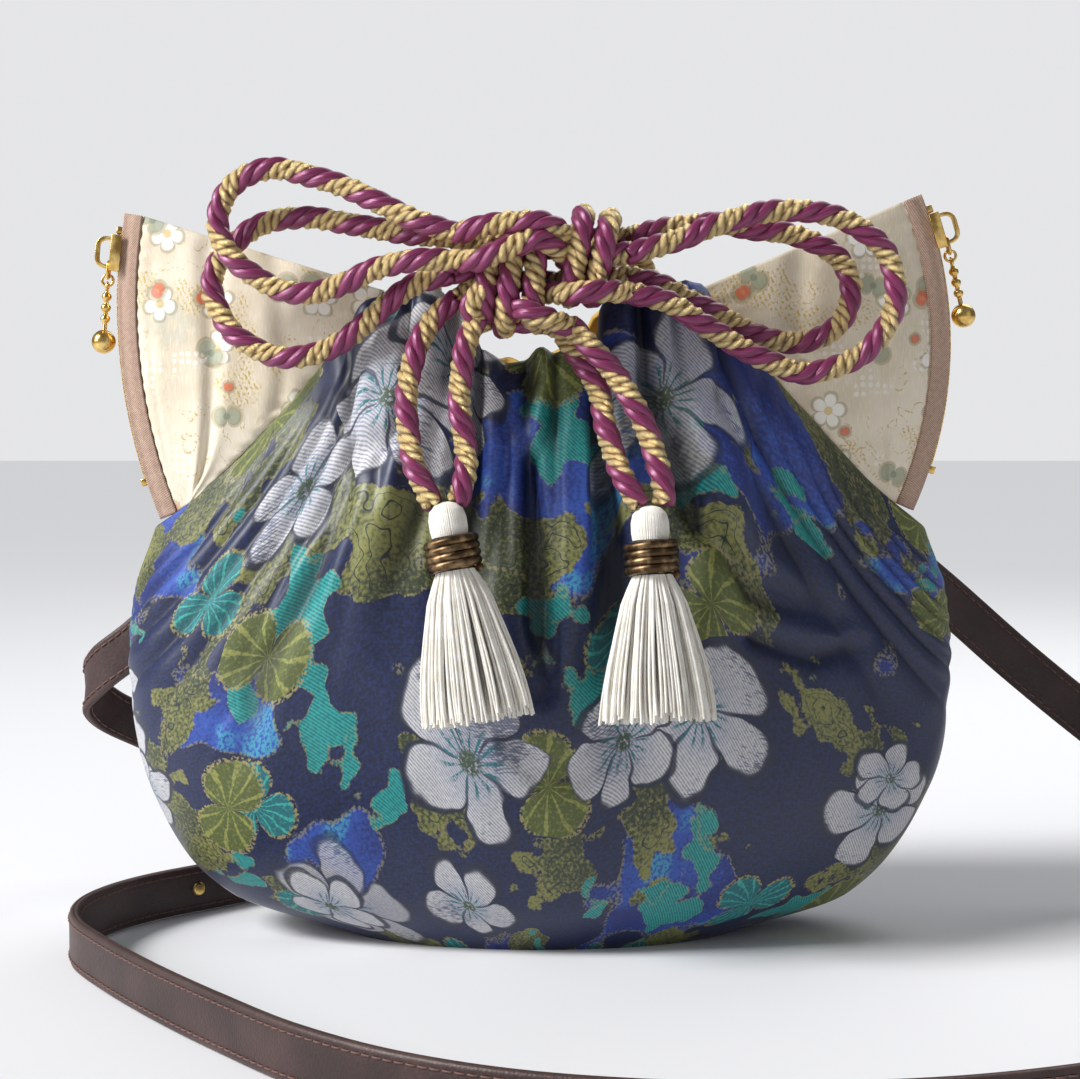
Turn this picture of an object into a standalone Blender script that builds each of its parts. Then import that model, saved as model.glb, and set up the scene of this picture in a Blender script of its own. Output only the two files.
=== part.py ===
"""Drawstring shoulder bag, standing on its flat base.

Metres, +Z up, front towards -Y. The origin is the middle of the flat base.
A gathered cloth pouch carries a cream wing at each side. Each wing is a front
and a back panel, joined by a curved zip with a slider and a hanging pull.
A doubled cord runs round the neck and is tied in a bow with two tassels.
"""
import math

import bmesh
import bpy
from mathutils import Matrix, Vector

MM = 0.001
GAP = 0.3 * MM

# Pouch: base, belly and mouth
BASE_HALF_WIDTH = 62 * MM
BASE_HALF_DEPTH = 34 * MM
FOOT_HALF_WIDTH = 98 * MM
FOOT_HALF_DEPTH = 47 * MM
BELLY_HALF_WIDTH = 127.3 * MM
BELLY_HALF_DEPTH = 56 * MM
SHOULDER_HALF_WIDTH = 126 * MM
SHOULDER_HALF_DEPTH = 39 * MM
RIM_HALF_WIDTH = 119.5 * MM
RIM_HALF_DEPTH = 30 * MM
SIDE_RIM_HEIGHT = 125 * MM
RUFFLE_HEIGHT = 197 * MM
MOUTH_DIP = 21 * MM
RUFFLE_HALF_WIDTH = 46 * MM
CLOTH = 1.5 * MM
GATHER_HEIGHT = 3.2 * MM
GATHER_PITCH = 15.5 * MM
NECK_COLUMNS = 22
LINING = 0.9 * MM
LINING_TOP_SHARE = 0.7

# Drawstring and its casing
CORD_DIAMETER = 7 * MM
CASING = 1.0 * MM
CASING_ROOM = 2.0 * MM
CASING_GAP = 0.5 * MM
CASING_LOW = 146.5 * MM
CASING_HIGH = 173.5 * MM
CASING_START = 47 * MM
CASING_END = 60 * MM
LOWER_STRAND = 156 * MM
UPPER_STRAND = LOWER_STRAND + CORD_DIAMETER + 2 * GAP

# Cream wings
WING = 2.0 * MM
WING_BULGE = 3.0 * MM
WING_EDGE_DEPTH = 5.5 * MM
WING_SETBACK = 7.5 * MM

# Zips: each follows an arc in the plane of the bag
ZIPS = {
    "left": dict(side=-1, radius=178 * MM, height=193 * MM, reach=131.3 * MM,
                 foot=2.5 * MM, clear=6.29, top=9.5, slider=5.5, lean=4.5),
    "right": dict(side=1, radius=125 * MM, height=181 * MM, reach=127.6 * MM,
                  foot=5.2 * MM, clear=9.58, top=22.3, slider=16.7, lean=13),
}
# The zip starts a little above the pouch's side, and its slider stops short of that end
for spec in ZIPS.values():
    spec["bottom"] = math.degrees(math.asin(
        (SIDE_RIM_HEIGHT + spec["foot"] - spec["height"]) / spec["radius"]))
    spec["travel"] = spec["slider"] - spec["bottom"] - spec["clear"]
CHAIN_WIDTH = 5.2 * MM
CHAIN_THICKNESS = 2.2 * MM
TAPE = 0.8 * MM
STOP_LENGTH = 2.4 * MM
SLIDER_LENGTH = 11 * MM
SLIDER_PLATE = 1.4 * MM
SLIDER_FLANGE = 1.0 * MM
SLIDER_GRIP = 1.6 * MM
BRIDGE_REACH = 7.0 * MM
BRIDGE_BEND = 2.6 * MM
BRIDGE_LENGTH = 10 * MM
BRIDGE_WIRE = 1.3 * MM
BRIDGE_WIDTH = 1.8 * MM

# Pull: link, ring and beaded drop
PULL_WIRE = 0.9 * MM
PULL_GAP = 0.2 * MM
LINK_REST = 0.45 * MM
LINK_HALF_WIDTH = 1.75 * MM
LINK_LENGTH = 5.2 * MM
LINK_REACH = 2.55 * MM
RING_RADIUS = 1.7 * MM
EYE_RADIUS = 1.3 * MM
BEAD_RADIUS = 1.5 * MM
BEAD_PITCH = 3.4 * MM
BEADS = 3
STEM_RADIUS = 0.7 * MM
BALL_RADIUS = 3.7 * MM
EYE_WIRE = 0.4 * MM
DROP_LENGTH = 17 * MM

# Bow and tassels
KNOT_CENTRE = Vector((0, -50, 203)) * MM
KNOT_HALF_SIZE = Vector((24, 11, 16)) * MM
TASSELS = {
    "left": dict(head=Vector((-27, -64.5, 136)) * MM, foot=Vector((-17, -72, 74)) * MM),
    "right": dict(head=Vector((31, -64.5, 135)) * MM, foot=Vector((33.5, -72, 74)) * MM),
}
HEAD_RADIUS = 5.6 * MM
HEAD_LENGTH = 9 * MM
COLLAR_RADIUS = 8.1 * MM
COLLAR_LENGTH = 12 * MM
COLLAR_TURNS = 4
COLLAR_SIDES = 16
THREAD_SIDES = 24
THREAD_FLUTES = 12
SKIRT_HALF_WIDTH = 16.5 * MM
SKIRT_HALF_DEPTH = 9.5 * MM

# Shoulder strap
STRAP_WIDTH = 15 * MM
STRAP_THICKNESS = 3 * MM
RIVET_PLACE = Vector((-112, 14, 7.9)) * MM
RIVET_RADIUS = 2.6 * MM
RIVET_HEAD = 0.8 * MM
RIVET_SHANK = 1.1 * MM
RIVET_REST = 0.05 * MM

MATERIALS = {
    "jacquard": ((0.03, 0.06, 0.22), 0.45, 0.0),
    "lining": ((0.75, 0.52, 0.10), 0.6, 0.0),
    "brocade": ((0.78, 0.70, 0.56), 0.55, 0.0),
    "tape": ((0.42, 0.27, 0.24), 0.7, 0.0),
    "brass": ((0.80, 0.58, 0.22), 0.25, 1.0),
    "bronze": ((0.22, 0.16, 0.10), 0.4, 1.0),
    "cord": ((0.42, 0.07, 0.17), 0.4, 0.0),
    "cotton": ((0.88, 0.86, 0.82), 0.9, 0.0),
    "leather": ((0.045, 0.028, 0.026), 0.5, 0.0),
}


def material(name):
    """Returns the named material, made on first use."""
    found = bpy.data.materials.get(name)
    if found:
        return found
    color, roughness, metallic = MATERIALS[name]
    made = bpy.data.materials.new(name)
    made.use_nodes = True
    shader = made.node_tree.nodes["Principled BSDF"]
    shader.inputs["Base Color"].default_value = (*color, 1)
    shader.inputs["Roughness"].default_value = roughness
    shader.inputs["Metallic"].default_value = metallic
    return made


def add_object(name, data, finish, parent=None):
    """Links a mesh or curve to the scene under its node's name."""
    piece = bpy.data.objects.new(name, data)
    data.materials.append(material(finish))
    bpy.context.scene.collection.objects.link(piece)
    if parent:
        piece.parent = parent
        piece.matrix_parent_inverse = parent.matrix_world.inverted()
    return piece


def add_axis(name, place, parent=None):
    """Adds an empty on a joint's axis. Its pieces are modelled in world places."""
    empty = bpy.data.objects.new(name, None)
    empty.matrix_world = Matrix.Translation(place)
    bpy.context.scene.collection.objects.link(empty)
    bpy.context.view_layer.update()
    if parent:
        empty.parent = parent
        empty.matrix_parent_inverse = parent.matrix_world.inverted()
    bpy.context.view_layer.update()
    return empty


def mesh_from(name, verts, faces):
    """Makes a closed mesh with its faces turned outwards and smooth shading."""
    mesh = bpy.data.meshes.new(name)
    mesh.from_pydata([tuple(v) for v in verts], [], faces)
    work = bmesh.new()
    work.from_mesh(mesh)
    bmesh.ops.recalc_face_normals(work, faces=work.faces)
    work.to_mesh(mesh)
    work.free()
    mesh.shade_smooth()
    mesh.set_sharp_from_angle(angle=math.radians(50))
    return mesh


def bridge(rows, closed):
    """Returns quads between neighbouring rows of equal length, as index lists."""
    faces = []
    for low, high in zip(rows, rows[1:]):
        count = len(low)
        for i in range(count if closed else count - 1):
            j = (i + 1) % count
            faces.append((low[i], low[j], high[j], high[i]))
    return faces


def sheet_mesh(name, outer, inner, closed=False):
    """A wall between two point grids, closed round its free edges."""
    verts = [p for row in outer for p in row] + [p for row in inner for p in row]
    width = len(outer[0])
    count = len(outer) * width
    out_rows = [[r * width + c for c in range(width)] for r in range(len(outer))]
    in_rows = [[count + i for i in row] for row in out_rows]
    faces = bridge(out_rows, closed)
    faces += [tuple(reversed(f)) for f in bridge(in_rows, closed)]
    for end in (0, -1):
        faces += bridge([out_rows[end], in_rows[end]], closed)
    if not closed:
        for end in (0, -1):
            faces += bridge([[row[end] for row in out_rows], [row[end] for row in in_rows]], False)
    return mesh_from(name, verts, faces)


def sweep_mesh(name, sections, closed=False):
    """A solid through a list of closed outlines, capped unless it is a ring."""
    width = len(sections[0])
    verts = [p for row in sections for p in row]
    rows = [[r * width + c for c in range(width)] for r in range(len(sections))]
    faces = bridge(rows + rows[:1] if closed else rows, True)
    if not closed:
        faces += [tuple(rows[0]), tuple(reversed(rows[-1]))]
    return mesh_from(name, verts, faces)


def turned_mesh(name, profile, sides):
    """A solid turned about Z from (radius, height) points whose ends lie on the axis."""
    verts = [(0, 0, profile[0][1]), (0, 0, profile[-1][1])]
    rows = []
    for radius, height in profile[1:-1]:
        start = len(verts)
        for i in range(sides):
            angle = math.tau * i / sides
            verts.append((radius * math.cos(angle), radius * math.sin(angle), height))
        rows.append([start + i for i in range(sides)])
    faces = bridge(rows, True)
    for i in range(sides):
        j = (i + 1) % sides
        faces += [(0, rows[0][i], rows[0][j]), (1, rows[-1][j], rows[-1][i])]
    return mesh_from(name, verts, faces)


def smoothstep(low, high, value):
    share = min(1, max(0, (value - low) / (high - low)))
    return share * share * (3 - 2 * share)


def along(stations, share):
    """Reads a smooth curve through (share, value) stations."""
    count = len(stations)
    slopes = []
    for i in range(count):
        before, after = stations[max(0, i - 1)], stations[min(count - 1, i + 1)]
        slopes.append((after[1] - before[1]) / (after[0] - before[0]))
    i = 0
    while i < count - 2 and share > stations[i + 1][0]:
        i += 1
    (x0, y0), (x1, y1) = stations[i], stations[i + 1]
    span = x1 - x0
    t = (share - x0) / span
    return ((2 * t**3 - 3 * t**2 + 1) * y0 + (t**3 - 2 * t**2 + t) * span * slopes[i]
            + (3 * t**2 - 2 * t**3) * y1 + (t**3 - t**2) * span * slopes[i + 1])


# Shares of the rim's height at which the pouch's half width and half depth are set
HALF_WIDTHS = [
    (0.0, BASE_HALF_WIDTH),
    (0.1, FOOT_HALF_WIDTH),
    (0.35, FOOT_HALF_WIDTH + 0.78 * (BELLY_HALF_WIDTH - FOOT_HALF_WIDTH)),
    (0.62, BELLY_HALF_WIDTH),
    (0.84, SHOULDER_HALF_WIDTH),
    (1.0, RIM_HALF_WIDTH),
]
HALF_DEPTHS = [
    (0.0, BASE_HALF_DEPTH),
    (0.1, FOOT_HALF_DEPTH),
    (0.38, BELLY_HALF_DEPTH),
    (0.62, SHOULDER_HALF_DEPTH + 0.66 * (BELLY_HALF_DEPTH - SHOULDER_HALF_DEPTH)),
    (0.84, SHOULDER_HALF_DEPTH),
    (1.0, RIM_HALF_DEPTH),
]

# Pleats that run down from the neck: x at the neck, x at the belly, half width, height
FRONT_PLEATS = [
    (-46 * MM, -86 * MM, 9 * MM, 5.0 * MM),
    (-32 * MM, -50 * MM, 8 * MM, 5.0 * MM),
    (-13 * MM, -24 * MM, 7 * MM, 4.0 * MM),
    (7 * MM, 3 * MM, 8 * MM, 7.0 * MM),
    (30 * MM, 44 * MM, 11 * MM, 6.0 * MM),
    (50 * MM, 84 * MM, 10 * MM, 4.5 * MM),
]
BACK_PLEATS = [
    (-44 * MM, -78 * MM, 10 * MM, 4.5 * MM),
    (-20 * MM, -34 * MM, 9 * MM, 5.5 * MM),
    (8 * MM, 12 * MM, 8 * MM, 4.5 * MM),
    (34 * MM, 60 * MM, 11 * MM, 5.5 * MM),
]


def rim_height(x):
    """Height of the pouch's top edge: low at the zips, high at the ruffle, dipped in the middle."""
    reach = abs(x)
    if reach >= RUFFLE_HALF_WIDTH:
        share = (RIM_HALF_WIDTH - min(reach, RIM_HALF_WIDTH)) / (RIM_HALF_WIDTH - RUFFLE_HALF_WIDTH)
        return SIDE_RIM_HEIGHT + (RUFFLE_HEIGHT - SIDE_RIM_HEIGHT) * share**1.25
    slope_start, slope_end = (0.30, 0.55) if x > 0 else (0.36, 0.72)
    rise = smoothstep(slope_start, slope_end, reach / RUFFLE_HALF_WIDTH)
    return RUFFLE_HEIGHT - MOUTH_DIP * (1 - rise)


def smooth_wall(turn, share):
    """Point of the smooth wall at a turn from the front and a share of its height.

    The turn is an angle: 0 is the front, a quarter is the right side.
    """
    sharpness = 1 + 0.35 * smoothstep(0.62, 1, share)
    cosine = math.cos(turn)
    depth = math.copysign(abs(cosine) ** sharpness, cosine)
    height = rim_height(RIM_HALF_WIDTH * math.sin(turn))
    return Vector((along(HALF_WIDTHS, share) * math.sin(turn), -along(HALF_DEPTHS, share) * depth,
                   height * share))


def pouch(turn, share, out=0.0):
    """Point of the pouch, moved out of the smooth wall along its normal."""
    step = 0.01
    around = smooth_wall(turn + step, share) - smooth_wall(turn - step, share)
    up = smooth_wall(turn, min(1, share + step)) - smooth_wall(turn, max(0, share - step))
    return smooth_wall(turn, share) + around.cross(up).normalized() * out


def fold_height(turn, share):
    """How far the cloth stands out of the smooth wall in gathers and pleats."""
    x = along(HALF_WIDTHS, share) * math.sin(turn)
    front = math.cos(turn) > 0
    facing = smoothstep(0.05, 0.5, abs(math.cos(turn)))
    rise = GATHER_HEIGHT * smoothstep(0.62, 0.95, share) * (1 - smoothstep(50 * MM, 66 * MM, abs(x)))
    height = rise * (0.5 + 0.5 * math.cos(math.tau * x / GATHER_PITCH + (0.6 if front else 0)))
    window = smoothstep(0.22, 0.5, share) * (1 - 0.45 * smoothstep(0.85, 1, share))
    for at_neck, at_belly, half, rise in FRONT_PLEATS if front else BACK_PLEATS:
        centre = at_belly + (at_neck - at_belly) * smoothstep(0.3, 1.0, share)
        breadth = half * (1.6 - 0.6 * share)
        height += rise * window * math.exp(-((x - centre) / breadth) ** 2)
    return height * facing


def pouch_turns(columns):
    """Turns of the columns: close together across the gathers, wide at the sides."""
    reach = 62 * MM
    front = [math.asin(reach * (2 * i / columns - 1) / RIM_HALF_WIDTH) for i in range(columns + 1)]
    side_steps = 10
    side = [front[-1] + (math.pi - 2 * front[-1]) * i / side_steps for i in range(1, side_steps)]
    back = [t + math.pi for t in front]
    return front + side + back + [t + math.pi for t in side]


WALL_SHARES = [0.0, 0.03, 0.07, 0.12, 0.2, 0.3, 0.4, 0.5, 0.6, 0.7, 0.78, 0.85, 0.91, 0.96, 1.0]


def pouch_mesh(name, turns, shares, outer, inner, floor_out, floor_in):
    """An open pouch with a flat floor between two wall functions of turn and share."""
    verts = []
    faces = []
    rings = []
    for wall, floor in ((outer, floor_out), (inner, floor_in)):
        start = len(verts)
        verts.append(Vector((0, 0, floor)))
        rows = []
        ring = [wall(t, shares[0]) for t in turns]
        levels = [[Vector((p.x * k, p.y * k, floor)) for p in ring] for k in (0.5, 1.0)]
        for share in shares[1:]:
            levels.append([wall(t, share) for t in turns])
        for level in levels:
            rows.append([len(verts) + i for i in range(len(turns))])
            verts += [Vector((p.x, p.y, max(p.z, floor))) for p in level]
        sheet = bridge(rows, True)
        sheet += [(start, rows[0][i], rows[0][(i + 1) % len(turns)]) for i in range(len(turns))]
        faces += sheet if wall is outer else [tuple(reversed(f)) for f in sheet]
        rings.append(rows[-1])
    faces += bridge(rings, True)
    return mesh_from(name, verts, faces)


def body():
    """The blue pouch and the lining inside it."""
    turns = pouch_turns(NECK_COLUMNS)
    mesh = pouch_mesh("body", turns, WALL_SHARES,
                      lambda t, s: pouch(t, s, fold_height(t, s)),
                      lambda t, s: pouch(t, s, -CLOTH),
                      0, CLOTH)
    add_object("body", mesh, "jacquard")
    shares = [s for s in WALL_SHARES if s <= LINING_TOP_SHARE]
    mesh = pouch_mesh("lining", turns, shares,
                      lambda t, s: pouch(t, s, -CLOTH - GAP),
                      lambda t, s: pouch(t, s, -CLOTH - GAP - LINING),
                      CLOTH + GAP, CLOTH + GAP + LINING)
    add_object("lining", mesh, "lining")


def casing_strip(name, start, end, steps):
    """A strip of lining cloth inside the neck that stands off the wall round the strands."""
    room = CORD_DIAMETER + CASING_ROOM
    outer, inner = [], []
    for i in range(steps + 1):
        turn = start + (end - start) * i / steps
        height = rim_height(RIM_HALF_WIDTH * math.sin(turn))
        back_row, face_row = [], []
        for share in (0, 0.1, 0.2, 0.5, 0.8, 0.9, 1):
            z = CASING_LOW + (CASING_HIGH - CASING_LOW) * share
            stand = room * smoothstep(0, 0.2, min(share, 1 - share))
            back_row.append(pouch(turn, z / height, -CLOTH - CASING_GAP - stand))
            face_row.append(pouch(turn, z / height, -CLOTH - CASING_GAP - stand - CASING))
        outer.append(back_row)
        inner.append(face_row)
    add_object(name, sheet_mesh(name, outer, inner), "lining")


def casings():
    """The casing: two short strips in front of the exits, and one round the back."""
    near = math.asin(CASING_START / RIM_HALF_WIDTH)
    far = math.asin(CASING_END / RIM_HALF_WIDTH)
    casing_strip("casing_front_right", near, far, 5)
    casing_strip("casing_front_left", -far, -near, 5)
    casing_strip("casing_back", math.pi - far, math.pi + far, 16)


def zip_point(spec, angle, radial, depth):
    """A point of a zip: its angle on the arc, its distance past the arc and its depth."""
    radius = spec["radius"] + radial
    centre = spec["reach"] - spec["radius"]
    x = centre + radius * math.cos(math.radians(angle))
    z = spec["height"] + radius * math.sin(math.radians(angle))
    return Vector((spec["side"] * x, depth, z))


def zip_angles(spec, low, high, steps):
    return [low + (high - low) * i / steps for i in range(steps + 1)]


def wing(side_name, face_name, face):
    """One cream panel: zip edge, seam with the pouch, and a free top edge."""
    spec = ZIPS[side_name]
    rows, columns = 9, 8
    seam_start, seam_end = 0.88 * RIM_HALF_WIDTH, RUFFLE_HALF_WIDTH + GAP
    outer, inner = [], []
    for r in range(rows + 1):
        up = r / rows
        angle = spec["bottom"] + (spec["top"] - spec["bottom"]) * up
        edge = zip_point(spec, angle, -WING_SETBACK, -WING_EDGE_DEPTH)
        x = seam_start + (seam_end - seam_start) * up**0.9
        turn = math.asin(x / RIM_HALF_WIDTH)
        seam = pouch(turn, 1)
        seam.x *= spec["side"]
        seam.z += 3 * GAP
        out_row, in_row = [], []
        for c in range(columns + 1):
            across = c / columns
            point = edge.lerp(seam, across)
            bow = math.sin(math.pi * across) * math.sin(math.pi * min(1, up * 0.9))
            point.y -= WING_BULGE * bow
            for row, push in ((out_row, -0.5), (in_row, 0.5)):
                row.append(Vector((point.x, face * (-(point.y + push * WING)), point.z)))
        outer.append(out_row)
        inner.append(in_row)
    name = f"wing_{face_name}_{side_name}"
    add_object(name, sheet_mesh(name, outer, inner), "brocade")


def arc_solid(spec, name, outline, low, high, steps, finish, parent=None):
    """Sweeps an outline of (radial, depth) points along the zip's arc."""
    sections = []
    for angle in zip_angles(spec, low, high, steps):
        sections.append([zip_point(spec, angle, radial, depth) for radial, depth in outline])
    return add_object(name, sweep_mesh(name, sections), finish, parent)


def tape_outline(face):
    """The tape's section: from beside the teeth back to the wing's edge."""
    half_chain = CHAIN_WIDTH / 2
    start = half_chain + GAP + TAPE / 2
    line = [
        (-1.2 * MM, start),
        (-2.6 * MM, start + 0.35 * MM),
        (-4.8 * MM, (start + WING_EDGE_DEPTH) / 2 + 0.5 * MM),
        (GAP - WING_SETBACK, WING_EDGE_DEPTH),
    ]
    outer = [(radial, face * (depth + TAPE / 2)) for radial, depth in line]
    inner = [(radial, face * (depth - TAPE / 2)) for radial, depth in reversed(line)]
    return outer + inner


def degrees_of(spec, length):
    """The angle that a length along the zip takes on its arc."""
    return math.degrees(length / spec["radius"])


def zip_tapes(side_name):
    spec = ZIPS[side_name]
    for face_name, face in (("front", -1), ("back", 1)):
        arc_solid(spec, f"tape_{face_name}_{side_name}", tape_outline(face),
                  spec["bottom"], spec["top"], 14, "tape")


def block_outline(low, high, half):
    return [(low, -half), (high, -half), (high, half), (low, half)]


def zip_chain(side_name):
    """The teeth, the bottom stop under the slider's lowest place, and the top stop."""
    spec = ZIPS[side_name]
    half_slider = degrees_of(spec, SLIDER_LENGTH / 2)
    gap = degrees_of(spec, GAP)
    stop = degrees_of(spec, STOP_LENGTH)
    low = spec["slider"] - spec["travel"] - half_slider - gap
    high = spec["slider"] + half_slider + gap
    half = CHAIN_WIDTH / 2
    arc_solid(spec, f"teeth_{side_name}", block_outline(-CHAIN_THICKNESS, 0, half),
              low + gap, high - gap, 14, "brass")
    for name, start in (("stop_bottom", low - stop), ("stop_top", high)):
        arc_solid(spec, f"{name}_{side_name}",
                  block_outline(-CHAIN_THICKNESS, 0.8 * MM, half),
                  start, start + stop, 1, "brass")


def combine(target, tool, operation):
    """Joins a second solid to the first, or cuts it out, and removes it."""
    joint = target.modifiers.new("combine", "BOOLEAN")
    joint.operation = operation
    joint.object = tool
    joint.solver = "EXACT"
    bpy.context.view_layer.update()
    depsgraph = bpy.context.evaluated_depsgraph_get()
    combined = bpy.data.meshes.new_from_object(target.evaluated_get(depsgraph))
    target.modifiers.clear()
    old = target.data
    target.data = combined
    bpy.data.meshes.remove(old)
    bpy.data.objects.remove(tool)


def loop_sections(points, across, half_a, half_b, sides=8):
    """Round or oval sections about a closed ring of points, with one fixed side direction."""
    sections = []
    for i, point in enumerate(points):
        ahead = (points[(i + 1) % len(points)] - points[i - 1]).normalized()
        side = across.cross(ahead).normalized()
        sections.append([
            point + side * half_a * math.cos(math.tau * k / sides)
            + across * half_b * math.sin(math.tau * k / sides)
            for k in range(sides)
        ])
    return sections


def circle(middle, first, second, radius, count):
    """Points of a ring in the plane of two directions."""
    turns = [math.tau * k / count for k in range(count)]
    return [middle + (first * math.cos(t) - second * math.sin(t)) * radius for t in turns]


def slider(side_name, axis):
    """A slider: plate outside the teeth, two flanges, and a bridge that holds the pull."""
    spec = ZIPS[side_name]
    half = degrees_of(spec, SLIDER_LENGTH / 2)
    tape_outside = CHAIN_WIDTH / 2 + GAP + TAPE + 0.45 * MM
    inside = tape_outside + GAP
    outside = inside + SLIDER_FLANGE
    top = GAP + SLIDER_PLATE
    outline = [
        (-SLIDER_GRIP, -outside), (top, -outside + 0.5 * MM), (top, outside - 0.5 * MM),
        (-SLIDER_GRIP, outside), (-SLIDER_GRIP, inside), (GAP, inside),
        (GAP, -inside), (-SLIDER_GRIP, -inside),
    ]
    name = f"slider_{side_name}"
    piece = arc_solid(spec, name, outline, spec["slider"] - half, spec["slider"] + half,
                      4, "brass", axis)
    angle = math.radians(spec["slider"])
    radial = Vector((spec["side"] * math.cos(angle), 0, math.sin(angle)))
    tangent = Vector((-spec["side"] * math.sin(angle), 0, math.cos(angle)))
    middle = zip_point(spec, spec["slider"], 0, 0)
    half_long = (BRIDGE_LENGTH - BRIDGE_WIRE) / 2
    reach = BRIDGE_REACH - BRIDGE_WIRE / 2
    bend = BRIDGE_BEND
    path = [(-half_long, GAP + 0.5 * SLIDER_PLATE)]
    for k in range(5):
        turn = math.radians(90 * k / 4)
        path.append((-half_long + bend * (1 - math.cos(turn)), reach - bend * (1 - math.sin(turn))))
    path += [(-a, b) for a, b in reversed(path)]
    sections = []
    for i, (a, b) in enumerate(path):
        before, after = path[max(0, i - 1)], path[min(len(path) - 1, i + 1)]
        ahead = Vector((after[0] - before[0], after[1] - before[1])).normalized()
        normal = Vector((-ahead.y, ahead.x))
        row = []
        for u, v in ((-1, -1), (1, -1), (1, 1), (-1, 1)):
            along_zip = a + normal.x * u * BRIDGE_WIRE / 2
            out = b + normal.y * u * BRIDGE_WIRE / 2
            row.append(middle + tangent * along_zip + radial * out
                       + Vector((0, v * BRIDGE_WIDTH / 2, 0)))
        sections.append(row)
    bail = add_object(name + "_bridge", sweep_mesh(name + "_bridge", sections), "brass")
    combine(piece, bail, "UNION")
    hang = middle + radial * LINK_REACH
    hang += tangent * (LINK_REST + PULL_WIRE / 2 - half_long + BRIDGE_WIRE / 2)
    return hang


def pull(side_name, hang, slider_axis):
    """The hanging pull: link round the bridge, ring in the link, beaded drop in the ring."""
    wire = PULL_WIRE / 2
    spec = ZIPS[side_name]
    lean = math.radians(spec["lean"])
    down = Vector((spec["side"] * math.sin(lean), 0, -math.cos(lean)))
    out = Vector((math.cos(lean), 0, spec["side"] * math.sin(lean)))
    side_on = Vector((0, 1, 0))
    link_axis = add_axis(f"axis_link_{side_name}", hang, slider_axis)
    points = []
    half_run = LINK_LENGTH / 2 - LINK_HALF_WIDTH
    middle = hang + down * LINK_LENGTH / 2
    for k in range(16):
        turn = math.tau * (k + 0.5) / 16
        rise = math.copysign(half_run, math.cos(turn)) + LINK_HALF_WIDTH * math.cos(turn)
        points.append(middle + side_on * LINK_HALF_WIDTH * math.sin(turn) - down * rise)
    sections = loop_sections(points, out, wire, wire, 6)
    name = f"link_{side_name}"
    add_object(name, sweep_mesh(name, sections, True), "brass", link_axis)

    link_foot = hang + down * LINK_LENGTH
    ring_axis = add_axis(f"axis_ring_{side_name}", link_foot, link_axis)
    ring_middle = link_foot + down * (RING_RADIUS - PULL_WIRE - PULL_GAP)
    points = circle(ring_middle, out, down, RING_RADIUS, 16)
    sections = loop_sections(points, side_on, wire, wire, 6)
    name = f"ring_{side_name}"
    add_object(name, sweep_mesh(name, sections, True), "brass", ring_axis)

    ring_foot = ring_middle + down * RING_RADIUS
    drop_axis = add_axis(f"axis_drop_{side_name}", ring_foot, ring_axis)
    eye_middle = ring_foot + down * (EYE_RADIUS - wire - EYE_WIRE - PULL_GAP)
    points = circle(eye_middle, side_on, down, EYE_RADIUS, 12)
    sections = loop_sections(points, out, EYE_WIRE, EYE_WIRE, 6)
    name = f"drop_{side_name}"
    eye = add_object(name + "_eye", sweep_mesh(name + "_eye", sections, True), "brass")
    start = -EYE_RADIUS + 0.1 * MM
    profile = [(0, start), (STEM_RADIUS, start - 0.15 * MM)]
    first = start - EYE_WIRE - BEAD_RADIUS
    for bead in range(BEADS):
        centre = first - bead * BEAD_PITCH
        for k in range(1, 4):
            turn = math.pi * k / 4
            radius = max(STEM_RADIUS, BEAD_RADIUS * math.sin(turn))
            profile.append((radius, centre + BEAD_RADIUS * math.cos(turn)))
    ball = -DROP_LENGTH
    for k in range(1, 8):
        turn = math.pi * k / 8
        radius = max(STEM_RADIUS, BALL_RADIUS * math.sin(turn))
        profile.append((radius, ball + BALL_RADIUS * math.cos(turn)))
    profile.append((0, ball - BALL_RADIUS))
    mesh = turned_mesh(name, profile, 10)
    mesh.transform(Matrix.Translation(eye_middle) @ Matrix.Rotation(-spec["side"] * lean, 4, "Y"))
    piece = add_object(name, mesh, "brass", drop_axis)
    combine(piece, eye, "UNION")


def zips():
    for side_name, spec in ZIPS.items():
        wing(side_name, "front", -1)
        wing(side_name, "back", 1)
        zip_tapes(side_name)
        zip_chain(side_name)
        centre = Vector((spec["side"] * (spec["reach"] - spec["radius"]), 0, spec["height"]))
        axis = add_axis(f"axis_slider_{side_name}", centre)
        hang = slider(side_name, axis)
        pull(side_name, hang, axis)


def smooth_route(route, count):
    """Evenly spaced points on a smooth curve through hand-chosen points in millimetres."""
    points = [Vector(p) * MM for p in route]
    padded = [2 * points[0] - points[1]] + points + [2 * points[-1] - points[-2]]
    fine = []
    for a, b, c, d in zip(padded, padded[1:], padded[2:], padded[3:]):
        for k in range(12):
            t = k / 12
            fine.append(0.5 * (2 * b + (c - a) * t + (2 * a - 5 * b + 4 * c - d) * t**2
                               + (3 * b - a - 3 * c + d) * t**3))
    fine.append(points[-1])
    lengths = [0.0]
    for a, b in zip(fine, fine[1:]):
        lengths.append(lengths[-1] + (b - a).length)
    result = []
    j = 0
    for k in range(count):
        target = lengths[-1] * k / (count - 1)
        while j < len(fine) - 2 and lengths[j + 1] < target:
            j += 1
        share = (target - lengths[j]) / (lengths[j + 1] - lengths[j])
        result.append(fine[j].lerp(fine[j + 1], min(1, share)))
    return result


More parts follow.
